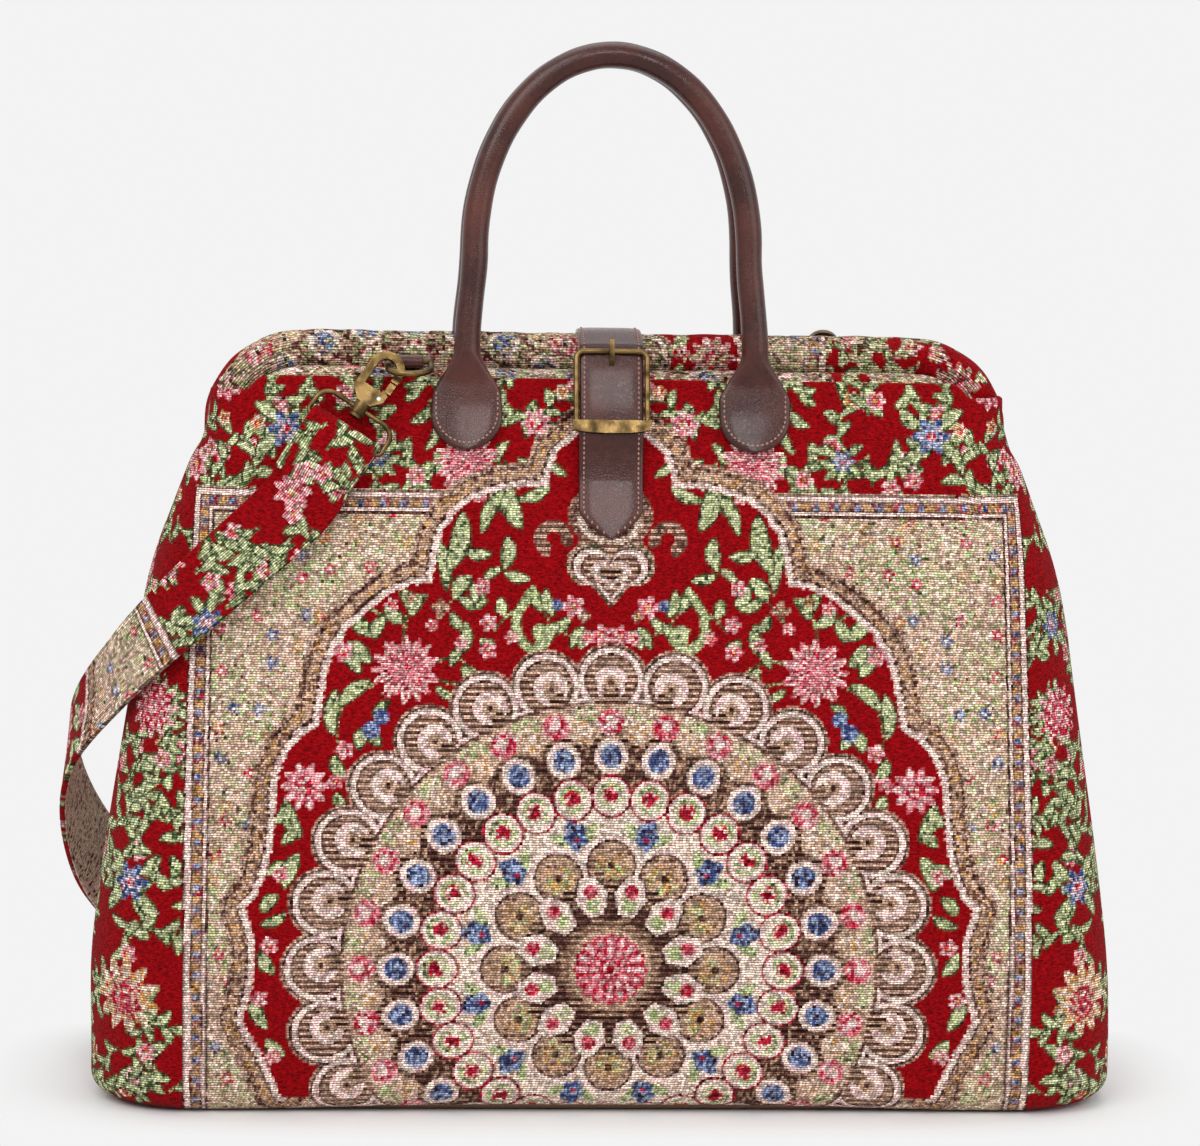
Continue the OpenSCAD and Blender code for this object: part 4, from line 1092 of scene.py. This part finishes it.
def lining(name, way, rise):
    """The same loft on a coarse grid, a cloth's thickness further in and facing inwards."""
    q = panel_grid(rise, 61, 2.6, 9.0)[0]
    q = q * TURNED if way > 0 else q
    return on_bag(piece(name, q.reshape(-1, 3), quads(*q.shape[:2])[:, ::-1], finish=LINING), "carpet")


front, front_lining = panel("front_carpet", "front_panel", -1, 0.0, 5), lining("front_lining", -1, 0.0)
rear, rear_lining = panel("rear_carpet", "rear_panel", 1, REAR_RISE, 9), lining("rear_lining", 1, REAR_RISE)

# %% [markdown]
# ## The base
# Under the bag is a plain dark cloth over a stiff board. It closes the loft: rings shrink from the edge
# of the panels to a line along the middle, so there is no pole and no gap.

# %% Base cloth
def base():
    """Rings from the panels' lower edge to the middle line: each is a share of the way in."""
    side, spine_half = np.linspace(-1, 1, 160), 160
    x, y = outline(side * reach(np.array(BASE_Z)), np.full(side.size, BASE_Z))
    rim = np.concatenate([np.stack([x, y], 1), np.stack([-x, -y], 1)[1:-1]])
    spine = np.stack([np.clip(rim[:, 0], -spine_half, spine_half) * 0.98, 0 * rim[:, 1]], 1)
    share = np.linspace(0, 1, 24)[:, None, None]
    flat = rim * (1 - share) + spine * share
    lift = base_lift(flat[..., 0]) * smooth((-flat[..., 1] - 55) / 14)
    p = np.concatenate([flat, (BASE_Z + lift + 0.32 * np.sin(np.pi * share[..., 0]))[..., None]], -1)
    made = piece("base_cloth", p.reshape(-1, 3), quads(*p.shape[:2], True)[:, ::-1], finish=BASE_CLOTH)
    on_bag(made, "carpet", "base_panel")


base()

# %% [markdown]
# ## The rolls of the mouth
# The mouth is two steel rods bent into a U, each in a sleeve of cloth. A sleeve is a circle carried along
# the rod's line: straight across, round a quarter circle at each end, and down. Both are cut from the same
# carpet, so the pattern runs over them where the cutter happened to take it.

# %% Sleeves
def evenly(line, step):
    """The same line with even steps, and the length up to each point; its first three columns are the place."""
    run = length_along(line[:, :3])
    even = np.linspace(0, run[-1], int(run[-1] / step) + 1)
    return np.stack([np.interp(even, run, column) for column in line.T], 1), even


def direction(line):
    """Unit vector along a line at each of its points."""
    return unit(np.gradient(line, axis=0))


def rod_line(y, top, r, low, step):
    """Even points along an upside-down U, and their length from its middle."""
    t = np.linspace(0, np.pi / 2, 40)
    x = np.concatenate([[-ROD_HALF - r], -ROD_HALF - r * np.cos(t), ROD_HALF + r * np.sin(t), [ROD_HALF + r]])
    z = np.concatenate([[low], top - r + r * np.sin(t), top - r + r * np.cos(t), [low]])
    p, run = evenly(np.stack([x, np.full(x.size, y), z], 1), step)
    return p, run - run[-1] / 2


def tube(line, radius, turn):
    """Circle carried along a flat line: a ring of points at the angles turn, the first one facing -Y."""
    side = np.broadcast_to(np.array([0, -1.0, 0]), line.shape)
    up = np.cross(side, direction(line))
    ring = side[:, None] * np.cos(turn)[:, None] + up[:, None] * np.sin(turn)[:, None]
    return line[:, None] + ring * radius[..., None]


def sleeve(name, node, y, top, r, puff, shift, low):
    """Cloth tube with slack lumps; shift and low are the part of the carpet that it was cut from."""
    line, run = rod_line(y, top, r, SIDE_TOP - 2, STITCH)
    count = 40
    turn = np.linspace(0, 2 * np.pi, count + 1)
    lump = 0.22 * np.sin(run[:, None] * 0.11 + 2 * np.sin(turn)) + 0.16 * np.sin(run[:, None] * 0.37 + 3 * turn)
    p = tube(line, SLEEVE_R + puff + lump, turn)[:, :count]
    # the tube opens at its lowest line, where the cloth's two edges meet
    round_v = np.where(turn > 1.5 * np.pi, turn - 2 * np.pi, turn) * SLEEVE_R
    u, v = run[:, None] + 0 * turn, turn * SLEEVE_R + 0 * run[:, None]
    w = carpet(*threads(u + shift, low + round_v + 0 * run[:, None], True))
    # turned-over cloth is rubbed and mixed: stray threads all over, and red along the outside of the bends
    flat = w.pile < 0.5
    stray = chance(np.floor(w.v / 0.7) * 41.3 + np.floor(w.u / 1.6) * 17.7, 9631.7)
    for dye, start in (("beige", 0.5), ("brown", 0.68), ("green", 0.78), ("dark", 0.9)):
        w.dye(flat & (stray > start), dye)
    along, across = (np.ravel(k) for k in threads(u, v, True))
    bend = np.abs(along) - ROD_HALF - 0.35 * r
    side = np.abs(across / SLEEVE_R - 0.75 * np.pi)
    w.dye((bend > 0) & (side < 0.42 * np.pi * smooth(bend / 14)), "red", "rose", 0.05, 1.0)
    lane = corners(np.stack([u, v], -1))[:, ::-1].reshape(-1, 2)
    faces = quads(len(run), count, True)[:, ::-1]
    on_bag(piece(name, p.reshape(-1, 3), faces, lane, w.rgb, w.pile, CARPET), "carpet", node)


CLOTH_T, GAP = 3, (0.3 + SLEEVE_R) / COS
FRONT_Y, REAR_Y = -(plane_y(FRONT_Z) - CLOTH_T - GAP), plane_y(REAR_Z) - CLOTH_T - GAP
sleeve("front_roll", "front_sleeve", FRONT_Y, FRONT_Z, FRONT_BEND, -0.3, 30, 116)
sleeve("rear_roll", "rear_sleeve", REAR_Y, REAR_Z, REAR_BEND, 1.0, 86, 143)

# %% [markdown]
# ## Leather
# Handles, belt and tabs are all a closed outline carried along a line: nearly square and flat where the
# leather is a strap, round where it is rolled. A power on the circle's sine and cosine moves between the
# two, and the seams are rows of small raised stitches.

# %% Loft for leather
THREAD_LONG = 1.5


def loft(name, node, mid, wide, thick, half_w, half_t, square, count):
    """Rings at mid: wide times half_w times cos to the power 2/square, and thick likewise with sin."""
    t = (np.arange(count) + 0.5) * 2 * np.pi / count
    e = 2 / np.broadcast_to(square, (len(mid),))[:, None]
    c, s = np.cos(t)[None], np.sin(t)[None]
    c, s = np.sign(c) * np.abs(c) ** e, np.sign(s) * np.abs(s) ** e
    p = mid[:, None] + wide[:, None] * (c * np.reshape(half_w, (-1, 1)))[..., None]
    p = p + thick[:, None] * (s * np.reshape(half_t, (-1, 1)))[..., None]
    rows = len(mid)
    faces = quads(rows, count, True).tolist()
    faces += [list(range(count))[::-1], [(rows - 1) * count + k for k in range(count)]]
    on_bag(piece(name, p.reshape(-1, 3), faces, finish=LEATHER), "leather", node)


def strip(name, node, mid, half_w, half_t, square, count, way=1.0):
    """Loft of a flat strap that lies across X; way -1 turns its face over."""
    wide = np.tile([way, 0, 0], (len(mid), 1))
    loft(name, node, mid, wide, np.cross(direction(mid), wide), half_w, half_t, square, count)


def stitches(name, place, way, out):
    """A row of thread loops: small pointed ovals of 18 faces at each place, along way and raised along out."""
    place, way, out = (np.asarray(k, float) for k in (place, way, out))
    side = np.cross(way, out)
    a, b = np.array([-1, -0.45, 0.45, 1.0]), np.array([0.05, 1, 1, 0.05])
    t = np.arange(6) * np.pi / 3
    ring = (way[:, None, None] * (a * THREAD_LONG / 2)[None, :, None, None]
            + side[:, None, None] * (b[:, None] * 0.42 * np.cos(t))[None, ..., None]
            + out[:, None, None] * (b[:, None] * 0.32 * np.sin(t))[None, ..., None])
    p = place[:, None, None] + ring
    one = quads(4, 6, True)[:, ::-1]
    faces = (one[None] + np.arange(len(place))[:, None, None] * 24).reshape(-1, 4)
    on_bag(piece(name, p.reshape(-1, 3), faces, finish=THREAD), "leather")


# %% [markdown]
# ## The handles
# Each handle is one strip of leather. Its ends lie flat on the cloth as rounded, stitched tabs, draw in to
# a neck, and then the strip is rolled into a tube that makes a tall arch. The stations are the solid's own,
# only closer together.

# %% Handles
HANDLE_X, TAB_HALF, TAB_T, ROLL_R = 63.0, 15.5, 2.0, 5.75
GRIP_Z, GRIP_HALF, GRIP_RISE = 370.25, 60.0, 85.0
TAB_DROP, NECK_TOP = 31.0, 16.0  # along the cloth from the seam, down to the tab's end and up to the roll
FLAT, ROUND = 3.4, 2.0  # squareness of the tab and of the roll


def front_spot(h, s):
    """Depth and height of a place h off the leaning front and s up it from the seam."""
    return [-SEAM_Y - h * COS + s * SIN, SEAM_Z + h * SIN + s * COS]


def handle_y(z):
    """Forward place of the handle's middle: along the cloth at first, then nearly upright."""
    return soft_min(-SEAM_Y - 2.3 / COS + (z - SEAM_Z) * TAN, -SEAM_Y - 3.6 + (z - SEAM_Z) * 0.11, 3)


def stations(*columns):
    """Rows of x, z, half-width, half-thickness and squareness; a single number serves all rows."""
    return np.stack(np.broadcast_arrays(*columns), 1)


def handle_stations():
    """Left half from the tab's end to the top: round tab end, eased neck, straight leg, quarter of an ellipse."""
    u = np.array([0.08, 0.5, 1.2, 2, 3, 4.5, 6, 8, 10, 12.5, 15.5, 18, 20])
    end = TAB_HALF * np.sqrt(np.maximum(0, 1 - np.maximum(0, 1 - u / TAB_HALF) ** 2))
    tab = stations(-HANDLE_X, SEAM_Z + (u - TAB_DROP) * COS, end, TAB_T, FLAT)
    s = np.arange(-9, NECK_TOP + 0.1, 1.5)
    k, b = smooth((s + 9) / 23), smooth((s + 2) / 16)
    neck = stations(-HANDLE_X, SEAM_Z + s * COS, TAB_HALF + (ROLL_R - TAB_HALF) * k,
                    TAB_T + (ROLL_R - TAB_T) * b, FLAT - (FLAT - ROUND) * b)
    t, foot = np.linspace(0.06, 0.94, 14), SEAM_Z + NECK_TOP * COS
    leg = stations(-HANDLE_X + (HANDLE_X - GRIP_HALF) * smooth(t), foot + t * (GRIP_Z - foot),
                   ROLL_R, ROLL_R, ROUND)
    g = np.radians(np.arange(0, 89, 2.0))
    arch = stations(-GRIP_HALF * np.cos(g), GRIP_Z + GRIP_RISE * np.sin(g), ROLL_R, ROLL_R, ROUND)
    return np.concatenate([tab, neck, leg, arch])


def handle(name, node, way):
    """Both halves of the stations, lofted; way mirrors the rear handle."""
    half = handle_stations()
    top = [[0, GRIP_Z + GRIP_RISE, ROLL_R, ROLL_R, ROUND]]
    x, z, half_w, half_t, square = np.concatenate([half, top, half[::-1] * np.array([-1, 1, 1, 1, 1])]).T
    mid = np.stack([x, handle_y(z), z], 1)
    along = direction(mid)
    wide = unit(np.cross([0, -1, 0], along))
    thick = np.cross(along, wide)
    # the roll is not quite even: shallow dents from hands and from the rolling
    run = np.arange(len(mid))
    dent = 1 + 0.012 * np.sin(run * 0.31) + 0.01 * np.sin(run * 0.77 + 1)
    turn = np.array([1, way, 1.0])
    loft(name, node, mid * turn, wide * turn * way, thick * turn, half_w * dent, half_t * dent, square, 44)


def tab_stitches(name, way):
    """Thread round the two tabs of a handle, 2 mm inside their edge; way mirrors the rear ones."""
    g, r = np.radians(np.linspace(183, 357, 20)), 13.4
    round_end = np.stack([r * np.cos(g), -TAB_HALF + r * np.sin(g)], 1)
    upright = np.stack([np.repeat([-r, r], 4), np.tile(np.linspace(-13.6, -7, 4), 2)], 1)
    across, up = np.concatenate([upright, round_end]).T
    dx, ds = np.concatenate([np.tile([0.0, 1.0], (8, 1)), np.stack([-np.sin(g), np.cos(g)], 1)]).T
    place = [np.stack([x + across, *front_spot(4.35, up)], 1) for x in (-HANDLE_X, HANDLE_X)]
    along = np.tile(np.stack([dx, ds * SIN, ds * COS], 1), (2, 1))
    out = np.tile([0, -COS, SIN], (len(along), 1))
    flip = np.array([1, way, 1.0])
    stitches(name, np.concatenate(place) * flip, along * flip, out * flip)


handle("front_leather_handle", "front_handle", 1)
handle("rear_leather_handle", "rear_handle", -1)
tab_stitches("front_tab_stitches", 1)
tab_stitches("rear_tab_stitches", -1)

# %% [markdown]
# ## The belt
# A belt comes over the mouth from the back, passes under the buckle's top bar and is held by its prong
# and the wide lower bar. Its line is given by a few points in the plane of depth and height.

# %% Belt
BELT_HALF, BELT_OFF, POINT_S = 14.0, 1.7, -58.0  # half-width, middle off the cloth, and where the point starts


def rear_spot(h, s):
    """The same place on the leaning back."""
    y, z = front_spot(h, s)
    return [-y, z]


def belt():
    """Line of the belt, then a loft with a pointed end; half-width there falls off as a power of 1.5."""
    curve = spline([rear_spot(BELT_OFF, 3), rear_spot(BELT_OFF, 9), [REAR_Y + 12.3, REAR_Z + 4.2],
                    [REAR_Y + 8.2, REAR_Z + 9.2], [REAR_Y - 0.3, REAR_Z + 10.5], [REAR_Y - 10.3, REAR_Z + 9.7],
                    [FRONT_Y - 8, REAR_Z + 6.5], front_spot(6.1, 12), front_spot(7, -2), front_spot(6.1, -21.5),
                    front_spot(3.4, -33), front_spot(1.8, -43), front_spot(BELT_OFF, -50)], 8)
    up = np.linspace(0, 1, 20, endpoint=False)[:, None]
    root = np.array(rear_spot(BELT_OFF, -62)) * (1 - up) + np.array(rear_spot(BELT_OFF, 3)) * up
    point = np.linspace(-58.6, -70.9, 20)
    tip = np.concatenate([np.linspace(-50.5, POINT_S, 8), point])
    line = np.concatenate([root, curve, np.stack(front_spot(BELT_OFF, tip), 1)])
    half = np.full(len(line), BELT_HALF)
    half[-20:] = np.maximum(0.4, BELT_HALF * (1 - ((POINT_S - point) / 12.95) ** 1.5) ** 0.9)
    mid = np.concatenate([np.zeros((len(line), 1)), line], 1)
    strip("leather_belt", "belt_strap", mid, half, 1.5, 4, 40)
    # stitches along both edges, on the outer face
    along, run = direction(mid), length_along(mid)
    even = np.arange(4, run[-1] - 3, 2.2)
    at = np.stack([np.interp(even, run, mid[:, k]) for k in range(3)], 1)
    way = np.stack([np.interp(even, run, along[:, k]) for k in range(3)], 1)
    out = unit(np.cross(way, [1.0, 0, 0]))
    near = np.interp(even, run, half) - 2.1
    keep = near > 0.8
    rows = [np.stack([s * near, at[:, 1], at[:, 2]], 1)[keep] + out[keep] * 1.4 for s in (-1, 1)]
    stitches("belt_stitches", np.concatenate(rows), np.tile(way[keep], (2, 1)), np.tile(out[keep], (2, 1)))


belt()

# %% [markdown]
# ## Leather tabs of the buckle and the rings
# Small strips of the same leather hold the metal: a flat one is sewn under the buckle, and one folded
# round the straight bar of each ring is sewn to the rear roll. They are strips like the belt, only
# shorter, so the same loft makes them.

# %% Leather tabs
def chape():
    """Strip sewn under the buckle, flat along the leaning front."""
    s = np.linspace(-25, -7.4, 20)
    strip("buckle_tab", "buckle_chape", np.stack([0 * s, *front_spot(1.6, s)], 1), 12.0, 1.3, 8, 40)


def ring_tab(name, node, bar, way, tail):
    """Strip folded round a ring's bar: a half turn of 2.3 mm and two tails back to the rear roll."""
    g, r = np.radians(np.linspace(-90, 90, 17)), 2.3
    y = np.concatenate([np.linspace(tail, 0.4, 8), -r * np.cos(g), np.linspace(0.4, tail, 8)])
    z = np.concatenate([np.linspace(-0.75, -2.1, 8), r * np.sin(g), np.linspace(2.1, 0.75, 8)])
    strip(name, node, np.stack([0 * y, y * way, z], 1) + np.array(bar), 6.0, 0.62, 6, 28, float(way))


chape()
ring_tab("left_leather_tab", "left_ring_tab", (-88, -14.5, 320.5), 1, 10.3)
ring_tab("right_leather_tab", "right_ring_tab", (88, 17.5, 329.5), -1, 6.2)

# %% [markdown]
# ## The shoulder strap
# A band of the same carpet is folded round a wire loop at each end and hangs behind the bag in a long bow.
# It is one strip on the real bag. Here it is cut in the middle of the back, so that each half can bend
# with the swivelling clip at its own end.

# %% Strap
STRAP_BARS = np.array([(-116.680, -33.131, 289.993), (116.680, 34.453, 299.350)])
STRAP_CUT, STRAP_TURN = (-330, 200), 285  # where on the carpet the strap starts, and where it goes back
HOOK = math.radians(33)
DOWN = np.array([-math.sin(HOOK), -math.cos(HOOK) * SIN, -math.cos(HOOK) * COS])
OUT = np.array([0, -COS, SIN])
PLACES = np.array([
    (-139, -40.6, 257, -0.15, -0.95, 0.28), (-178, -53, 222, -0.5, -0.83, 0.22),
    (-211, -38, 188, -0.86, -0.48, 0.12), (-236, 0, 150, -1, 0, 0), (-234, 45, 105, -0.94, 0.25, 0.2),
    (-212, 92, 62, -0.7, 0.45, 0.55), (-160, 118, 26, -0.3, 0.5, 0.81), (-90, 128, 8, -0.05, 0.2, 0.98),
    (0, 132, 3.5, 0, 0, 1),
    (80, 128, 7, 0.05, 0.2, 0.98), (138, 113, 36, 0.25, 0.8, 0.55), (160, 97, 100, 0.1, 0.97, 0.2),
    (155, 66, 190, 0, 0.96, 0.28), (139, 46, 257, 0.05, 0.955, 0.29)])  # place, and where the face looks


def strap_end(bar, down, out):
    """Places and facings from the tail, round the bar, to the upper layer."""
    a, r = np.radians(np.linspace(-90, 90, 13)), 2.85
    u = np.concatenate([[22, 13, 6], -r * np.cos(a), [6, 13, 22]])
    v = np.concatenate([[-1.65, -1.65, -2.13], r * np.sin(a), [2.13, 1.65, 1.65]])
    flat, bend = np.tile(out, (3, 1)), np.sin(a)[:, None] * out - np.cos(a)[:, None] * down
    face = np.concatenate([-flat, bend, flat])
    return np.concatenate([bar + u[:, None] * down + v[:, None] * out, face], 1)


def strap_line(step):
    """Even points along the whole strap, with the direction its face looks."""
    left = strap_end(STRAP_BARS[0], DOWN, OUT)
    right = strap_end(STRAP_BARS[1], DOWN * TURNED, OUT * TURNED)
    route = spline(np.concatenate([left[-2:], PLACES, right[-1:-3:-1]]), 24)
    return evenly(np.concatenate([left[:-2], route, right[-3::-1]]), step)


def strap():
    """Flat band: its section is a rounded bar 34 by 3 mm, woven on the face and plain on the back; the back's pale dye
    and pile shading are partly painted light.
    """
    line, run = strap_line(STITCH)
    mid, face = line[:, :3], line[:, 3:]
    along = direction(mid)
    wide = unit(np.cross(face, along))
    up = np.cross(along, wide)
    # the section's face and one edge, and the same turned round for the back and the other edge
    w = np.concatenate([np.linspace(-16.2, 16.2, 24), [16.8, 17, 17, 16.8]])
    h = np.concatenate([np.full(24, 1.5), [1.15, 0.5, -0.5, -1.15]])
    w, h = np.concatenate([w, -w]), np.concatenate([h, -h])
    ripple = 0.5 * np.sin(run * 0.035) * np.cos(run * 0.011)
    hem = -0.35 * np.exp(-(((np.abs(w) - 13.2) / 1.1) ** 2)) * np.sign(h)
    p = mid[:, None] + wide[:, None] * w[:, None] + up[:, None] * (h + hem)[:, None]
    p = p + up[:, None] * (ripple * smooth((run - 60) / 80) * smooth((run[-1] - 60 - run) / 80))[:, None, None]
    count, cut, made = len(w), len(run) // 2, []
    ring, behind = np.append(w, w[0]), np.append(h, h[0])
    for name, part in (("left_strap", slice(0, cut + 1)), ("right_strap", slice(cut, len(run)))):
        length = run[part]
        rows = len(length)
        u, v = length[:, None] + 0 * ring, ring + 0 * length[:, None]
        reel = STRAP_CUT[0] + u
        reel = np.where(reel > STRAP_TURN, 2 * STRAP_TURN - reel, reel)
        c = carpet(*threads(reel, STRAP_CUT[1] + v, True))
        # the back is a pale backing, dyed cream with brown flecks and shaded as the brighter pile: partly its own
        # colour, partly painted light where the lamps do not reach it
        back = np.repeat(corners(behind + 0 * u).mean(1) < -1.2, 4)
        c.dye(back, "cream", "brown", 0.15, 0.7)
        faces = quads(rows, count, True)[:, ::-1].tolist()
        faces += [list(range(count)), [(rows - 1) * count + k for k in range(count)][::-1]]
        lane = np.concatenate([corners(np.stack([u, v], -1))[:, ::-1].reshape(-1, 2), np.zeros((2 * count, 2))])
        caps = np.tile(DYES["brown"], (2 * count, 1))
        made.append(piece(name, p[part].reshape(-1, 3), faces, lane, np.concatenate([c.rgb, caps]),
                          np.concatenate([c.pile, np.zeros(2 * count)]), CARPET))
    return *made, run[-1]


left_strap, right_strap, strap_long = strap()
print("strap length %.0f mm" % strap_long)
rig.blend(left_strap, "bag", "left_clip", start=tuple(PLACES[2, :3] / 1000), end=tuple(STRAP_BARS[0] / 1000))
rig.blend(right_strap, "bag", "right_clip", start=tuple(PLACES[11, :3] / 1000), end=tuple(STRAP_BARS[1] / 1000))
for half in (left_strap, right_strap):
    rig.replaces(half, "shoulder_strap"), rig.slot(half, "carpet")

# %% [markdown]
# ## Metal and board
# These solids are already the right shape, so they stay and only get a finish: brass for what shows, steel
# for the rods, rivets, pins and springs.

# %% Finishes of the solids
painted = 0
for name, node in frame["nodes"].items():
    finish = None
    if any(k in name for k in ("hook", "gate", "dee_ring", "strap_loop", "buckle_frame", "buckle_prong")):
        finish = STEEL if "pin" in name or "spring" in name else BRASS
    elif "frame" in name or "rivets" in name:
        finish = STEEL
    elif name == "base_board":
        finish = BOARD
    if finish:
        node.data.materials.clear()
        node.data.materials.append(finish)
        painted += 1
print("solids with a finish:", painted)

# %% [markdown]
# ## Soft pieces, declared
# The cut sizes come from the cloth's own lengths: a panel is as wide as its base and as high as the way
# from the base edge to the mouth, and each strap half is half of the strap's length.

# %% Sheets
FRONT_CUT, REAR_CUT, STRAP_HALF_CUT = (0.579, 0.331), (0.579, 0.345), (0.034, strap_long / 2000)
for front_sheet, rear_sheet in ((front, rear), (front_lining, rear_lining)):
    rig.sheet(front_sheet, FRONT_CUT, "stretched", ["front_roll", "base_cloth"])
    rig.sheet(rear_sheet, REAR_CUT, "stretched", ["rear_roll", "base_cloth"])
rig.sheet(left_strap, STRAP_HALF_CUT, "hung", ["left_strap_loop"])
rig.sheet(right_strap, STRAP_HALF_CUT, "hung", ["right_strap_loop"])
print("cut sizes in metres:", FRONT_CUT, REAR_CUT, STRAP_HALF_CUT)

# %% [markdown]
# ## Floor and light
# The bag stands on a pale floor without a horizon. Near the bag the floor takes its shadow; further off it
# turns into the flat pale ground of the photograph, for the camera and for reflections only.

# %% Stage
PALE, FLOOR_HALF, FLOOR_Z = rgb(243, 243, 243), 6.0, -0.0004


def seen(w):
    """1 for what the camera, a mirror or glass looks at, 0 for light that falls on something."""
    rays = [w.node("ShaderNodeLightPath", None, None, k) for k in (0, 3, 6)]
    return (rays[0] + rays[1] + rays[2]).clamp()


def stage():
    """Wide floor whose paint turns from lit white near the bag into an even pale glow further away."""
    mesh = bpy.data.meshes.new("floor")
    rim = [(x * FLOOR_HALF, y * FLOOR_HALF, FLOOR_Z) for x, y in ((-1, -1), (1, -1), (1, 1), (-1, 1))]
    mesh.from_pydata(rim, [], [(0, 1, 2, 3)])
    floor = bpy.data.objects.new("floor", mesh)
    bpy.context.scene.collection.objects.link(floor)
    material = bpy.data.materials.new("studio_floor")
    material.use_nodes = True
    w = Wire(material.node_tree)
    w.tree.nodes.clear()
    place = w.node("ShaderNodeTexCoord", None, None, OBJECT)
    x, y = (w.node("ShaderNodeSeparateXYZ", None, {0: place}, k).size() for k in (0, 1))
    far = (x ** 4 + (y * 2.2) ** 4) ** 0.25
    fade = ((far - 0.215) / 0.06).clamp() * seen(w)
    lit = w.node("ShaderNodeBsdfDiffuse", None, {"Color": rgb(240, 240, 240)})
    glow = w.node("ShaderNodeEmission", None, {"Color": PALE, "Strength": 1.0})
    both = w.node("ShaderNodeMixShader", None, {0: fade, 1: lit, 2: glow})
    w.node("ShaderNodeOutputMaterial", None, {0: both})
    mesh.materials.append(material)
    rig.stage(floor)


def lights():
    """A broad key from the upper left front, a fill from the right, a top and a front lamp, and a pale world."""
    for name, place, size, watts in (("key", (-1.3, -1.9, 2.2), 1.8, 38), ("fill", (1.9, -1.5, 1.3), 1.8, 18),
                                     ("top", (0.1, 0.5, 2.4), 2.0, 22), ("front", (0.15, -2.2, 1.5), 0.4, 6.5)):
        lamp = bpy.data.lights.new(name, "AREA")
        lamp.size, lamp.energy = size, watts
        made = bpy.data.objects.new(name, lamp)
        made.location = place
        made.rotation_euler = (Vector((0, 0, 0.2)) - Vector(place)).to_track_quat("-Z", "Y").to_euler()
        bpy.context.scene.collection.objects.link(made)
    world = bpy.data.worlds.new("studio")
    bpy.context.scene.world = world
    world.use_nodes = True
    w = Wire(world.node_tree)
    w.tree.nodes.clear()
    soft = w.node("ShaderNodeBackground", None, {"Color": (1, 1, 1, 1), "Strength": 0.42})
    pale = w.node("ShaderNodeBackground", None, {"Color": PALE, "Strength": 1.0})
    both = w.node("ShaderNodeMixShader", None, {0: seen(w), 1: soft, 2: pale})
    w.node("ShaderNodeOutputWorld", None, {0: both})


stage()
lights()
bpy.context.scene.view_settings.view_transform = "Standard"
print("lamps:", len(bpy.data.lights))

# %% [markdown]
# ## Sizes
# Cloth may stand a little proud of the solids, but not by much. The box of the solids and that of the
# dressed bag are written side by side, and the last line prints them.

# %% Sizes and finish
def plain(b):
    """A box's two corners as plain lists of numbers."""
    return [[float(x) for x in corner_point] for corner_point in b]


json.dump({"cad": plain(cad_box), "visual": plain(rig.bounds())}, open("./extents.json", "w"))
print(open("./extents.json").read())
